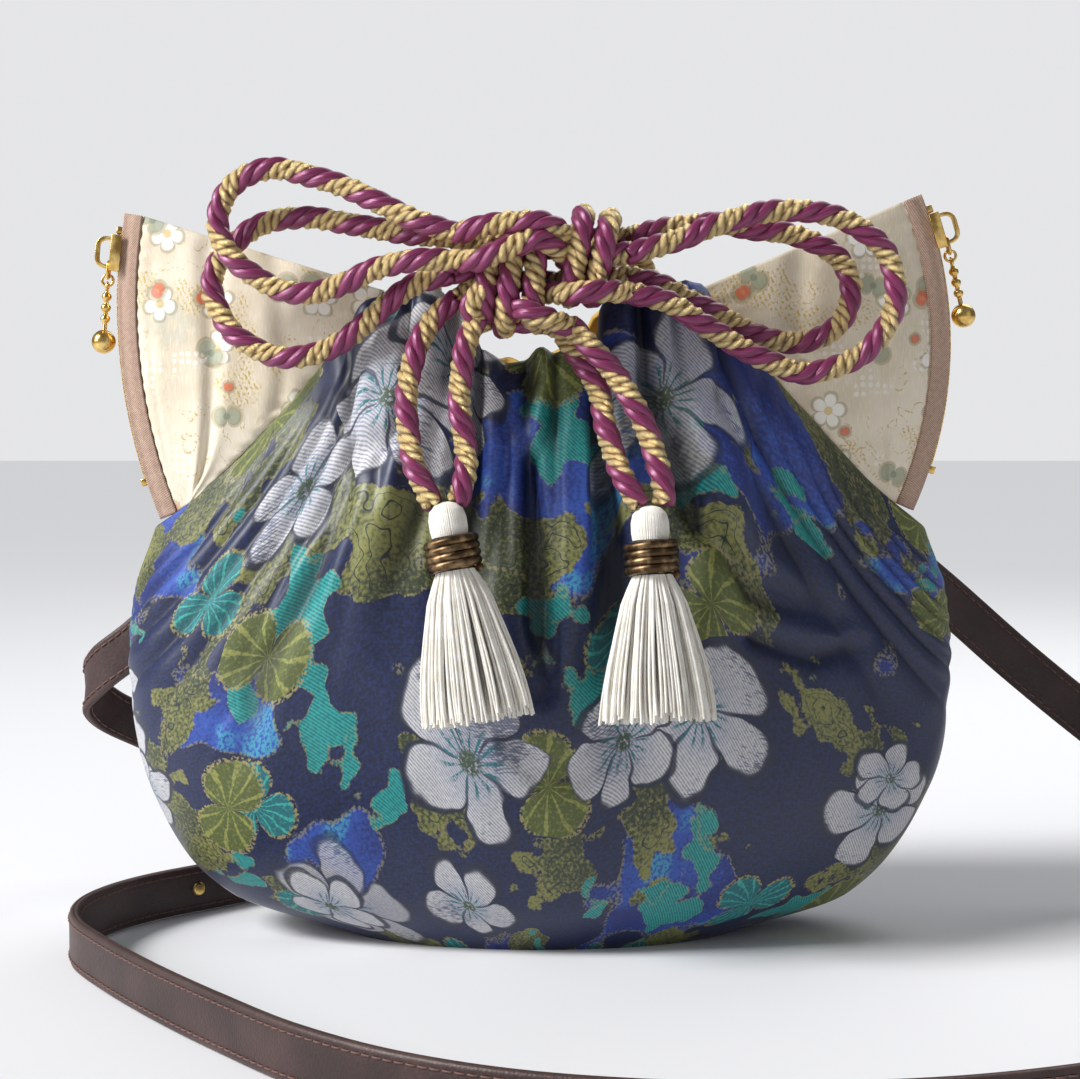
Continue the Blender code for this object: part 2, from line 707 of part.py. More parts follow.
def cord(name, route, count):
    """A plain round tube along a route: the cord's own solid."""
    data = bpy.data.curves.new(name, "CURVE")
    data.dimensions = "3D"
    data.bevel_depth = CORD_DIAMETER / 2
    data.bevel_resolution = 2
    data.use_fill_caps = True
    spline = data.splines.new("POLY")
    points = smooth_route(route, count)
    spline.points.add(len(points) - 1)
    for spot, point in zip(spline.points, points):
        spot.co = (*point, 1)
    add_object(name, data, "cord")


# Routes of the free cords, in millimetres
BOW_ROUTES = {
    "bow_loop_left_upper": [
        (-24.1, -54.8, 212.5), (-39, -54, 218), (-53, -50, 225), (-64, -47, 229), (-76, -44, 232),
        (-86, -42, 230), (-92, -41, 224), (-94, -41, 215), (-90, -42, 207), (-83, -43, 201),
        (-75, -44, 197), (-66, -46, 196), (-56, -49, 199), (-46, -53, 203), (-36, -56, 205),
        (-24.1, -56, 205)],
    "bow_loop_left_lower": [
        (-25, -46.5, 212), (-36, -45, 213), (-48, -41, 215), (-58, -38, 217), (-68, -35, 218.5),
        (-78, -33, 218), (-87, -32, 214), (-95, -31.5, 206), (-97, -32, 197), (-93, -34, 188),
        (-87, -36, 182), (-78, -38, 178), (-68, -40, 178), (-58, -42, 182), (-50, -44, 188),
        (-43, -46, 194), (-35, -47.5, 199), (-25, -48, 202)],
    "bow_loop_right_outer": [
        (25, -55, 207), (33, -54, 209), (42, -52, 212), (52, -50, 216), (63, -47, 219), (75, -45, 220),
        (87, -43, 218), (96, -42, 213), (102, -41, 206), (104, -41, 197), (102, -41, 188), (96, -42, 180),
        (87, -43, 175), (77, -44, 173), (67, -46, 176), (57, -48, 181), (47, -51, 187), (37, -54, 193),
        (25, -56, 196)],
    "bow_loop_right_inner": [
        (25, -46.5, 212), (33, -44, 214), (43, -41.5, 216), (53, -39, 216.5), (63, -37, 215),
        (73, -34.5, 214),
        (82, -33, 211), (89, -32, 206), (92, -32, 199), (90, -33, 190), (84, -34, 184), (74, -35.5, 182),
        (64, -37.5, 184), (54, -40, 189), (44, -42.5, 194), (35, -45, 198.5), (25, -47, 201)],
    "tail_left_front": [
        (-18.4, -53.7, 188.7), (-21.6, -57, 179), (-23, -58.5, 165), (-21.5, -60, 153), (-21, -62.5, 145),
        (-23.4, -64.2, 136.4)],
    "tail_left_rear": [
        (-24, -48.4, 194), (-30, -49, 189.5), (-35, -51, 181), (-38, -54, 170), (-38, -57, 158),
        (-36, -60.5, 147), (-32.5, -63, 139.5), (-30.6, -64.2, 135.4)],
    "tail_right_front": [
        (9, -55.5, 186.2), (13, -57, 182), (21, -58, 173), (28, -59, 162), (33, -61, 149),
        (35, -63.5, 140), (35, -64.4, 136)],
    "tail_right_rear": [
        (6, -47, 186.1), (8, -47.5, 182), (13, -49, 175), (17, -51.5, 167), (19, -55, 157),
        (22, -60, 147), (26, -63.5, 139), (28, -64.4, 135.5)],
}
NECK_ROUTES = {
    "neck_strand_upper": {
        "left": [(-15, -37.4, 210), (-22, -33, 208), (-29, -27, 203), (-34.5, -22, 195),
            (-38, -23, 180), (-42, -27.5, 167)],
        "right": [(15, -37.4, 212), (22, -33, 211), (29, -27, 207), (35, -22, 197), (38, -23, 181),
            (42.5, -28, 166)],
    },
    "neck_strand_lower": {
        "left": [(-14, -37.4, 199), (-18, -33, 196), (-21, -27.5, 193), (-23, -23, 185),
            (-25.5, -23, 173), (-33, -28, 160)],
        "right": [(17, -37.4, 204), (20.5, -33.5, 204), (23.5, -28, 202), (26, -22.5, 197),
            (28.5, -22, 187), (30.5, -23.5, 173), (35, -28, 160.5)],
    },
}


def bow():
    """The knot with its wraps, the loops and the tails."""
    rings, around = 14, 20
    sections = []
    squareness = 0.55
    for i in range(1, rings):
        polar = math.pi * i / rings
        row = []
        for k in range(around):
            turn = math.tau * k / around
            cos_p, sin_p = -math.cos(polar), math.sin(polar)
            ridge = 1 + 0.05 * math.cos(math.tau * 3.5 * i / rings + turn)
            powered = [math.copysign(abs(v) ** squareness, v)
                       for v in (cos_p, sin_p * math.cos(turn), sin_p * math.sin(turn))]
            row.append(KNOT_CENTRE + Vector((
                powered[0] * KNOT_HALF_SIZE.x,
                powered[1] * ridge * KNOT_HALF_SIZE.y * 0.95,
                powered[2] * ridge * KNOT_HALF_SIZE.z * 0.95)))
        sections.append(row)
    add_object("bow_knot", sweep_mesh("bow_knot", sections), "cord")
    for name, route in BOW_ROUTES.items():
        length = sum((Vector(b) - Vector(a)).length for a, b in zip(route, route[1:])) * MM
        cord(name, route, max(7, round(length / (1.9 * CORD_DIAMETER))))


def tassel(side_name):
    """A bundle of threads with a domed head, and a coiled collar round its neck."""
    spec = TASSELS[side_name]
    axis = (spec["foot"] - spec["head"])
    length = axis.length
    head_end = HEAD_LENGTH
    collar_end = HEAD_LENGTH + COLLAR_LENGTH
    bore = COLLAR_RADIUS - 2.0 * MM
    stations = [(0.0, 0.35), (0.02, 0.7), (0.06, 0.93), (0.11, 1.0)]
    rows = [(length * s, HEAD_RADIUS * r, HEAD_RADIUS * r) for s, r in stations]
    rows += [(head_end - 0.5 * MM, HEAD_RADIUS, HEAD_RADIUS)]
    rows += [(head_end, bore - GAP, bore - GAP), (collar_end, bore - GAP, bore - GAP)]
    skirt = [(0.04, 0.15), (0.16, 0.36), (0.36, 0.56), (0.6, 0.78), (0.82, 0.93), (1.0, 1.0)]
    neck = COLLAR_RADIUS - 0.6 * MM
    for share, grow in skirt:
        at = collar_end + (length - collar_end) * share
        rows.append((at, neck + (SKIRT_HALF_WIDTH - neck) * grow,
                     neck + (SKIRT_HALF_DEPTH - neck) * grow))
    down = axis.normalized()
    across = (Vector((1, 0, 0)) - down * down.x).normalized()
    frame = Matrix((across, down.cross(across), down)).transposed().to_4x4()
    place = Matrix.Translation(spec["head"]) @ frame
    sections = []
    for at, wide, deep in rows:
        loose = smoothstep(collar_end, length, at)
        row = []
        for k in range(THREAD_SIDES):
            turn = math.tau * k / THREAD_SIDES
            flute = 1 + 0.04 * loose * math.cos(turn * THREAD_FLUTES)
            row.append(place @ Vector((wide * flute * math.cos(turn), deep * flute * math.sin(turn), at)))
        sections.append(row)
    name = f"tassel_threads_{side_name}"
    add_object(name, sweep_mesh(name, sections), "cotton")

    low, high = head_end + GAP, collar_end - GAP
    outline = [(bore, low), (bore, high)]
    for t in range(COLLAR_TURNS):
        for k in range(3):
            share = (t + (k + 0.5) / 3) / COLLAR_TURNS
            swell = math.sin(math.pi * (k + 0.5) / 3)
            outline.append((COLLAR_RADIUS - 0.8 * MM * (1 - swell), high - (high - low) * share))
    sections = []
    for k in range(COLLAR_SIDES):
        turn = math.tau * k / COLLAR_SIDES
        sections.append([place @ Vector((r * math.cos(turn), r * math.sin(turn), at)) for r, at in outline])
    name = f"tassel_collar_{side_name}"
    add_object(name, sweep_mesh(name, sections, True), "bronze")


# Places of both strands from each front route on, in millimetres from the middle of the bag:
# along the front wall, round the end, and back along the rear wall
NECK_FRONT = (47, 50, 53, 57, 60)
NECK_END = ((69, -18), (72, -9), (72.5, 0), (72, 9), (69, 18))
NECK_BACK = (60, 53, 45, 36, 27, 18, 9)


def neck_strands():
    """Both strands of the drawstring: out over the dip of the mouth, in the casing, round the back."""
    inset = -CLOTH - CASING_GAP - (CORD_DIAMETER + CASING_ROOM) / 2
    for name, level in (("neck_strand_upper", UPPER_STRAND), ("neck_strand_lower", LOWER_STRAND)):
        halves = {}
        for side_name, side in (("left", -1), ("right", 1)):
            route = [Vector(p) for p in NECK_ROUTES[name][side_name]]
            for x in NECK_FRONT:
                turn = math.asin(side * x * MM / RIM_HALF_WIDTH)
                route.append(pouch(turn, level / rim_height(side * x * MM), inset) / MM)
            for x, y in NECK_END:
                route.append(Vector((side * x, y, level / MM)))
            for x in NECK_BACK:
                turn = math.pi - math.asin(side * x * MM / RIM_HALF_WIDTH)
                route.append(pouch(turn, level / rim_height(side * x * MM), inset) / MM)
            halves[side_name] = route
        middle = pouch(math.pi, level / rim_height(0), inset) / MM
        cord(name, halves["left"] + [middle] + halves["right"][::-1], 46)


# Route of the strap's middle line, in millimetres, from its left end to its right end
STRAP_ROUTE = [
    (-70, 41.6, 139), (-84, 40.6, 129), (-100, 41, 115), (-118, 45, 99), (-135, 52, 84), (-148, 57, 74),
    (-153.5, 65, 66), (-149, 73, 58), (-137, 78, 51), (-120, 82, 43), (-100, 87, 34), (-82, 90, 26),
    (-66, 87, 18.5), (-58, 77, 12.5), (-62, 65, 9), (-73, 53, 8), (-88, 39, 7.9), (-105, 22, 7.9),
    (-122, 4, 7.9), (-133, -14, 7.9), (-138, -34, 7.9), (-135, -56, 7.9), (-123, -80, 7.9),
    (-103, -112, 7.9),
    (-81, -143, 7.9), (-58, -172, 7.9), (-30, -196, 7.9), (5, -212, 7.9), (50, -218, 7.9), (100, -212, 7.9),
    (150, -190, 7.9), (192, -155, 7.9), (221, -108, 8.1), (233, -60, 11), (230, -15, 20), (213, 20, 35),
    (188, 40, 54),
    (160, 49, 77), (135, 50, 99), (112, 45, 118), (92, 41, 134), (74, 39.5, 147)]


def strap():
    """A flat two-ply leather strap that stands on its edge, and its rivet."""
    points = smooth_route(STRAP_ROUTE, 76)
    nearest = min(range(len(points)), key=lambda i: (points[i] - RIVET_PLACE).length)
    sections = []
    for i, point in enumerate(points):
        ahead = (points[min(i + 1, len(points) - 1)] - points[max(i - 1, 0)]).normalized()
        wide = (Vector((0, 0, 1)) - ahead * ahead.z).normalized()
        thick = ahead.cross(wide).normalized()
        row = []
        for u, v in ((-1, -1), (1, -1), (1, 1), (-1, 1)):
            row.append(point + thick * u * STRAP_THICKNESS / 2 + wide * v * STRAP_WIDTH / 2)
        sections.append(row)
        if i == nearest:
            face = thick
    piece = add_object("shoulder_strap", sweep_mesh("shoulder_strap", sections), "leather")

    place = Matrix.Translation(points[nearest]) @ face.to_track_quat("Z", "X").to_matrix().to_4x4()
    rest = STRAP_THICKNESS / 2 + RIVET_REST
    top = rest + RIVET_HEAD
    hole = [(0, -top), (RIVET_SHANK + GAP, -top), (RIVET_SHANK + GAP, top), (0, top)]
    mesh = turned_mesh("rivet_hole", hole, 12)
    mesh.transform(place)
    combine(piece, add_object("rivet_hole", mesh, "leather"), "DIFFERENCE")
    profile = [
        (0, -top), (0.75 * RIVET_RADIUS, -top), (RIVET_RADIUS, -rest), (RIVET_SHANK, -rest),
        (RIVET_SHANK, rest), (RIVET_RADIUS, rest), (0.75 * RIVET_RADIUS, top), (0, top),
    ]
    mesh = turned_mesh("strap_rivet", profile, 12)
    mesh.transform(place)
    add_object("strap_rivet", mesh, "brass")


def main():
    """Clears the scene and builds the bag."""
    for old in list(bpy.data.objects):
        bpy.data.objects.remove(old)
    body()
    casings()
    zips()
    bow()
    neck_strands()
    for side_name in TASSELS:
        tassel(side_name)
    strap()


main()
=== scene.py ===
import math
import random

import bmesh
import bpy
import numpy as np
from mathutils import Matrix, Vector, noise


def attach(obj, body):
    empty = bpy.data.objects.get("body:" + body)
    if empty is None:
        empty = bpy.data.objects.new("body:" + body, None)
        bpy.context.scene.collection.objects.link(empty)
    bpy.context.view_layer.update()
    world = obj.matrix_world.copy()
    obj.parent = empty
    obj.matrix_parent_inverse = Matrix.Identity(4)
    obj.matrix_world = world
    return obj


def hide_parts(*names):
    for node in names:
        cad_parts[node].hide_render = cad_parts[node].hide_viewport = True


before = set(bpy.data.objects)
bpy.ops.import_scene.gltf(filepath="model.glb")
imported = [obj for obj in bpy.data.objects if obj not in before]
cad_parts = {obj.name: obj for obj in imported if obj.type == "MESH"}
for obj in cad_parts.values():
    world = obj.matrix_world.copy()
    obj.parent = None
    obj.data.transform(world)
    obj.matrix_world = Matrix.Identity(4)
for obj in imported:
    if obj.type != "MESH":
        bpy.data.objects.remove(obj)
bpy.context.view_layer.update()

# The photographer's stand: a plain pale floor under a white sky, a broad sun and a soft lamp
# from the upper left, two weaker lamps on the right and behind, and the camera slightly
# above the middle of the bag, looking a little down.
MM = 0.001
CAMERA_DISTANCE = 0.726
CAMERA_HEIGHT = 0.1695
CAMERA_DIP = math.atan(154.5 / 2333)
FOCAL_LENGTH = 77.8
SENSOR_WIDTH = 36
FLOOR_SIZE = 9.0
LAMP_AIM = Vector((0, 0, 0.12))
# name, kind, place, size (a sun's angle), power
LAMPS = [
    ("top_light", "SUN", (-0.75, -0.3, 0.8), 0.3, 2.9),
    ("key_lamp", "AREA", (-0.95, -0.3, 0.5), 0.4, 5.0),
    ("fill_lamp", "AREA", (1.0, -0.9, 0.55), 0.9, 1.0),
    ("back_lamp", "AREA", (0.35, 0.6, 0.8), 0.6, 3.0),
]
SKY_COLOR, SKY_STRENGTH = (0.93, 0.96, 1.0, 1), 0.2
BACKDROP_COLOR, BACKDROP_STRENGTH = (0.98, 0.985, 1.0, 1), 0.8
scene = bpy.context.scene
scene.view_settings.view_transform = "Standard"


def placed(name, data):
    """A new object in the scene, from a mesh, a light or a camera."""
    made = bpy.data.objects.new(name, data)
    scene.collection.objects.link(made)
    return made


lens = bpy.data.cameras.new("camera")
lens.lens = FOCAL_LENGTH
lens.sensor_width = SENSOR_WIDTH
camera = placed("camera", lens)
camera.location = (0, -CAMERA_DISTANCE, CAMERA_HEIGHT)
camera.rotation_euler = (math.pi / 2 - CAMERA_DIP, 0, 0)
scene.camera = camera


class Tone:
    """A value that varies over a surface: a socket that Python's operators combine."""

    def __init__(self, socket):
        self.socket = socket

    def node(self, kind, sockets, output=0, **settings):
        """Adds a node, first its settings and then its values or links, and returns an output."""
        tree = self.socket.id_data
        made = tree.nodes.new(kind)
        for key, value in settings.items():
            setattr(made, key, value)
        for key, value in sockets.items():
            if isinstance(value, Tone):
                tree.links.new(value.socket, made.inputs[key])
            else:
                made.inputs[key].default_value = value
        return Tone(made.outputs[output])

    def math(self, operation, *values):
        return self.node("ShaderNodeMath", dict(enumerate(values)), operation=operation)

    def vector(self, operation, *values, output=0):
        return self.node("ShaderNodeVectorMath", dict(enumerate(values)), output, operation=operation)

    def __add__(self, other):
        return self.math("ADD", self, other)

    def __sub__(self, other):
        return self.math("SUBTRACT", self, other)

    def __rsub__(self, other):
        return self.math("SUBTRACT", other, self)

    def __mul__(self, other):
        return self.math("MULTIPLY", self, other)

    def __truediv__(self, other):
        return self.math("DIVIDE", self, other)

    def __pow__(self, other):
        return self.math("POWER", self, other)

    def __abs__(self):
        return self.math("ABSOLUTE", self)

    __radd__ = __add__
    __rmul__ = __mul__

    def sine(self):
        return self.math("SINE", self)

    def cosine(self):
        return self.math("COSINE", self)

    def most(self, other):
        return self.math("MAXIMUM", self, other)

    def shifted(self, *by):
        return self.vector("ADD", self, by)

    def scaled(self, *by):
        return self.vector("MULTIPLY", self, by)

    def noise(self, scale, detail, flat=True, **sockets):
        """Noise from 0 to 1 at these coordinates, of which flat noise reads the first two."""
        return self.node("ShaderNodeTexNoise", {"Vector": self, "Scale": scale, "Detail": detail, **sockets},
                         "Fac", noise_dimensions="2D" if flat else "3D")

    def step(self, low, high):
        """0 below low, 1 above high, smooth between. The two may be turned round."""
        return self.node("ShaderNodeMapRange", {"Value": self, "From Min": low, "From Max": high},
                         interpolation_type="SMOOTHSTEP")

    def mix(self, under, over):
        """Lays the colour over on the colour under, by this value. A plain colour is three
        values on screen, 0 to 255."""
        under, over = (side if isinstance(side, Tone) else color(*side) for side in (under, over))
        return self.node("ShaderNodeMix", {"Factor": self, "A": under, "B": over},
                         "Result", data_type="RGBA")


def color(red, green, blue):
    """A colour from its values on screen, 0 to 255, as the shader's linear one."""
    return tuple(((v / 255 + 0.055) / 1.055) ** 2.4 if v > 10 else v / 255 / 12.92
                 for v in (red, green, blue)) + (1,)


def finish_of(name, paint, **fixed):
    """A material whose paint function gets the Texture Coordinate node's outputs and returns
    the colour, roughness, bump height and bump depth, and whose other values are fixed."""
    made = bpy.data.materials.new(name)
    made.use_nodes = True
    shader = made.node_tree.nodes["Principled BSDF"]
    for key, value in fixed.items():
        shader.inputs[key.replace("_", " ")].default_value = value
    coords = made.node_tree.nodes.new("ShaderNodeTexCoord")
    base, rough, height, depth = paint(Tone(coords.outputs["UV"]), Tone(coords.outputs["Object"]))
    links = made.node_tree.links
    for value, key in ((base, "Base Color"), (rough, "Roughness")):
        if isinstance(value, Tone):
            links.new(value.socket, shader.inputs[key])
        else:
            shader.inputs[key].default_value = value
    if height is not None:
        bump = height.node("ShaderNodeBump", {"Strength": 1.0, "Distance": depth, "Height": height})
        links.new(bump.socket, shader.inputs["Normal"])
    return made


def plain_paint(red, green, blue, rough=0.9):
    """A paint function of one even colour."""
    return lambda uv, place: (color(red, green, blue), rough, None, 0)


floor_mesh = bpy.data.meshes.new("floor")
half = FLOOR_SIZE / 2
floor_mesh.from_pydata([(-half, -half, 0), (half, -half, 0), (half, half, 0), (-half, half, 0)], [],
                       [(0, 1, 2, 3)])
floor_mesh.materials.append(finish_of("pale_paper", plain_paint(236, 236, 238)))
placed("floor", floor_mesh)

# The world lights the bag softly, and looks white behind it.
world = bpy.data.worlds.new("studio")
world.use_nodes = True
sky = world.node_tree.nodes["Background"]
sky.inputs["Color"].default_value = SKY_COLOR
sky.inputs["Strength"].default_value = SKY_STRENGTH
rays = Tone(world.node_tree.nodes.new("ShaderNodeLightPath").outputs["Is Camera Ray"])
white = rays.node("ShaderNodeBackground", {"Color": BACKDROP_COLOR, "Strength": BACKDROP_STRENGTH})
seen = rays.node("ShaderNodeMixShader", {0: rays, 1: Tone(sky.outputs[0]), 2: white})
world.node_tree.links.new(seen.socket, world.node_tree.nodes["World Output"].inputs["Surface"])
scene.world = world
for name, kind, place, size, power in LAMPS:
    light = bpy.data.lights.new(name, kind)
    setattr(light, "angle" if kind == "SUN" else "size", size)
    light.energy = power
    lamp = placed(name, light)
    lamp.location = place
    lamp.rotation_euler = (LAMP_AIM - Vector(place)).to_track_quat("-Z", "Y").to_euler()

# The pouch: one piece of flowered satin jacquard, cut about 0.64 m round and 0.25 m deep,
# sewn up at the base, gathered at the neck by the drawstring and left standing above it as
# a ruffle. The wall is turned in at the mouth, which is faced with yellow lining cloth.
CLOTH = 1.5 * MM
RIM_HALF_WIDTH = 119.5 * MM
SIDE_RIM_HEIGHT = 125 * MM
RUFFLE_HEIGHT = 197 * MM
RUFFLE_HALF_WIDTH = 46 * MM
MOUTH_DIP = 21 * MM
GIRTH_HALF_WIDTH, GIRTH_HALF_DEPTH = 126 * MM, 54 * MM
# half width and half depth of the wall, in millimetres, at shares of its height
HALF_WIDTHS = np.array([(0.0, 62), (0.1, 98), (0.35, 120.9), (0.62, 127.3), (0.84, 126), (1.0, 119.5)])
HALF_DEPTHS = np.array([(0.0, 34), (0.1, 47), (0.38, 56), (0.62, 50.2), (0.84, 39), (1.0, 30)])


def smoothstep(low, high, value):
    """0 below low, 1 above high, smooth between."""
    share = np.clip((value - low) / (high - low), 0, 1)
    return share * share * (3 - 2 * share)


def along(stations, share):
    """Reads a smooth curve through stations of (share, millimetres), in metres."""
    at, value = stations[:, 0], stations[:, 1] * MM
    rise = np.r_[value[1:], value[-1]] - np.r_[value[0], value[:-1]]
    slope = rise / (np.r_[at[1:], at[-1]] - np.r_[at[0], at[:-1]])
    i = np.clip(np.searchsorted(at, share, side="left") - 1, 0, len(at) - 2)
    span = at[i + 1] - at[i]
    t = (share - at[i]) / span
    return ((2 * t**3 - 3 * t**2 + 1) * value[i] + (t**3 - 2 * t**2 + t) * span * slope[i]
            + (3 * t**2 - 2 * t**3) * value[i + 1] + (t**3 - t**2) * span * slope[i + 1])


def rim_height(x):
    """Height of the pouch's top edge: low at the zips, high at the ruffle, dipped in the middle."""
    reach = np.minimum(np.abs(x), RIM_HALF_WIDTH)
    slope = (RIM_HALF_WIDTH - reach) / (RIM_HALF_WIDTH - RUFFLE_HALF_WIDTH)
    outside = SIDE_RIM_HEIGHT + (RUFFLE_HEIGHT - SIDE_RIM_HEIGHT) * np.minimum(slope, 1) ** 1.25
    share = reach / RUFFLE_HALF_WIDTH
    rise = np.where(x > 0, smoothstep(0.30, 0.55, share), smoothstep(0.36, 0.72, share))
    return np.where(reach >= RUFFLE_HALF_WIDTH, outside, RUFFLE_HEIGHT - MOUTH_DIP * (1 - rise))


def smooth_wall(turn, share):
    """Points of the smooth wall. A turn of 0 is the front, and a quarter the right side."""
    cosine = np.cos(turn)
    depth = np.copysign(np.abs(cosine) ** (1 + 0.35 * smoothstep(0.62, 1, share)), cosine)
    height = rim_height(RIM_HALF_WIDTH * np.sin(turn)) * share
    return np.stack([along(HALF_WIDTHS, share) * np.sin(turn),
                     -along(HALF_DEPTHS, share) * depth, height], -1)


def pouch(turn, share, out):
    """Points of the pouch, moved out of the smooth wall along its normal."""
    turn, share, out = np.broadcast_arrays(turn, share, out)
    step = 0.01
    around = smooth_wall(turn + step, share) - smooth_wall(turn - step, share)
    up = smooth_wall(turn, np.minimum(1, share + step)) - smooth_wall(turn, np.maximum(0, share - step))
    normal = np.cross(around, up)
    normal /= np.linalg.norm(normal, axis=-1, keepdims=True)
    return smooth_wall(turn, share) + normal * out[..., None]


# Folds of the front, each a ridge down the cloth: (x, z) places in millimetres from the neck
# down, its half width to the left and to the right, and its height.
FRONT_FOLDS = [
    ([(-44, 190), (-47, 160), (-58, 130), (-76, 100), (-88, 78)], 6, 15, 6.0),
    ([(-34, 192), (-36, 165), (-42, 140), (-50, 115), (-54, 92)], 9, 7, 5.0),
    ([(-24, 192), (-25, 168), (-27, 145), (-30, 122)], 5, 5, 4.0),
    ([(-15, 178), (-12, 165), (-13, 152), (-20, 143)], 7, 8, 5.5),
    ([(0, 176), (3, 168), (-1, 156), (-6, 146)], 4.5, 4.5, 5.0),
    ([(9, 172), (10, 150), (11, 125), (9, 100), (2, 76)], 9, 10, 7.5),
    ([(24, 192), (24, 165), (26, 140), (27, 118)], 6, 6, 4.5),
    ([(33, 194), (36, 172), (45, 150), (62, 128)], 6, 8, 5.5),
    ([(42, 190), (44, 165), (50, 140), (52, 112), (46, 84)], 7, 12, 6.5),
    ([(50, 186), (60, 166), (78, 146), (98, 132)], 6, 13, 4.0),
]
# Creases and valleys: the same, pressed in.
FRONT_CREASES = [
    ([(-50, 150), (-66, 112), (-82, 84), (-88, 60)], 7, 5, 3.6),
    ([(-20, 150), (-24, 120), (-22, 92), (-14, 72)], 6, 6, 4.2),
    ([(-3, 145), (-1, 120), (0, 100), (2, 82)], 4, 3, 4.6),
    ([(20, 165), (21, 140), (21, 112), (17, 88)], 5, 5, 3.2),
    ([(38, 150), (46, 128), (62, 110), (88, 100)], 4, 5, 4.0),
    ([(-10, 66), (0, 57), (12, 58), (22, 68)], 4, 4, 3.0),
    ([(62, 96), (80, 90), (100, 92)], 4, 4, 1.8),
]
BACK_FOLDS = [
    ([(-50, 186), (-56, 150), (-74, 112), (-84, 84)], 9, 12, 5.5),
    ([(-30, 190), (-34, 150), (-42, 116), (-48, 80)], 8, 9, 6.0),
    ([(-12, 186), (-14, 150), (-18, 118)], 6, 7, 5.0),
    ([(4, 184), (6, 150), (10, 110), (10, 76)], 8, 9, 6.0),
    ([(22, 190), (25, 160), (32, 128)], 7, 7, 5.0),
    ([(36, 190), (42, 152), (58, 112), (66, 82)], 9, 11, 6.0),
    ([(50, 184), (62, 150), (90, 122)], 8, 9, 4.5),
]
BACK_CREASES = [
    ([(-42, 140), (-52, 110), (-62, 88)], 6, 6, 3.2),
    ([(-4, 140), (-2, 112), (-4, 84)], 5, 6, 3.6),
    ([(46, 140), (48, 112), (52, 86)], 6, 5, 3.4),
]


# relief of the folds above, which keeps between the two limits
FOLD_GAIN, CREASE_GAIN, EASE = 1.3, 1.9, 1.0 * MM
RELIEF_LOW, RELIEF_HIGH = -0.9 * MM, 9.5 * MM
GATHER_PITCH, GATHER_HEIGHT = 9.8 * MM, 3.4 * MM
GATHER_REACH = (0.050, 0.070)
PLEAT_HEIGHT = 2.4 * MM
WAIST_HEIGHT, WAIST_WIDTH = 0.160, 0.014
DRAPE_HEIGHT = 1.5 * MM


def ridge(x, z, fold):
    """Height at (x, z) of one fold, which fades out at its lower end."""
    places, left, right, height = fold
    places = np.array(places, float) * MM
    nearest = np.full(x.shape, 9.0)
    side = np.zeros(x.shape)
    part = np.zeros(x.shape)
    for i, (a, b) in enumerate(zip(places, places[1:])):
        run = b - a
        t = np.clip(((x - a[0]) * run[0] + (z - a[1]) * run[1]) / (run @ run), 0, 1)
        dx, dz = x - a[0] - t * run[0], z - a[1] - t * run[1]
        far = np.hypot(dx, dz)
        closer = far < nearest
        nearest = np.where(closer, far, nearest)
        side = np.where(closer, dx * -run[1] + dz * run[0], side)
        part = np.where(closer, (i + t) / (len(places) - 1), part)
    width = np.where(side > 0, right, left) * MM * (0.62 + 0.5 * part)
    return height * MM * np.exp(-((nearest / width) ** 2)) * (1 - 0.75 * smoothstep(0.55, 1.0, part))


def folds(turn, share):
    """How far the cloth stands out of the smooth wall."""
    wall = smooth_wall(turn, share)
    x, z = wall[..., 0], wall[..., 2]
    front = np.cos(turn) > 0
    height = np.zeros(x.shape)
    for facing, ridges, creases in ((front, FRONT_FOLDS, FRONT_CREASES), (~front, BACK_FOLDS, BACK_CREASES)):
        swell = np.max([ridge(x, z, fold) for fold in ridges], axis=0)
        press = np.max([ridge(x, z, fold) for fold in creases], axis=0)
        height = np.where(facing, FOLD_GAIN * swell - CREASE_GAIN * press + EASE, height)
    # small gathers at the neck, uneven in pitch, and the waist that the drawstring pulls in
    wander = 2.2 * np.sin(x * 61 + 1) + 1.3 * np.sin(x * 143 + z * 20 + 4)
    gathers = np.abs(np.sin(x * math.pi / GATHER_PITCH + wander / 2 + np.where(front, 0, 1))) ** 0.75
    reach = 1 - smoothstep(*GATHER_REACH, np.abs(x))
    height += GATHER_HEIGHT * gathers * smoothstep(0.58, 0.90, share) * reach
    # finer gathers that fan out from the neck over the upper half
    fan = x / (0.045 + 0.085 * (1 - smoothstep(0.45, 1, share)))
    pleats = np.abs(np.sin(fan * 13 + 1.5 * np.sin(fan * 3.1 + 2) + np.where(front, 0.4, 2.1))) ** 0.8
    upper = smoothstep(0.40, 0.70, share) * (1 - smoothstep(0.86, 0.96, share))
    height += PLEAT_HEIGHT * (pleats - 0.4) * upper
    waist = np.exp(-(((z - WAIST_HEIGHT) / WAIST_WIDTH) ** 2)) * reach
    height -= 0.25 * height * waist
    # soft unevenness of the cloth all over
    drape = [noise.noise((px * 24, py * 24 + 5, pz * 20))
             + 0.45 * noise.noise((px * 65, py * 65, pz * 50 + 9)) for px, py, pz in wall.reshape(-1, 3)]
    settle = smoothstep(0.0, 0.2, share)
    height += DRAPE_HEIGHT * np.array(drape).reshape(x.shape) * settle
    facing = smoothstep(0.0, 0.35, np.abs(np.cos(turn)))
    return np.clip(height * (0.25 + 0.75 * facing), RELIEF_LOW, RELIEF_HIGH) * settle


def wall_turns(columns):
    """Turns of the columns, closer together at the front and the back."""
    even = np.arange(columns) / columns
    return math.tau * even - 0.18 * np.sin(2 * math.tau * even)


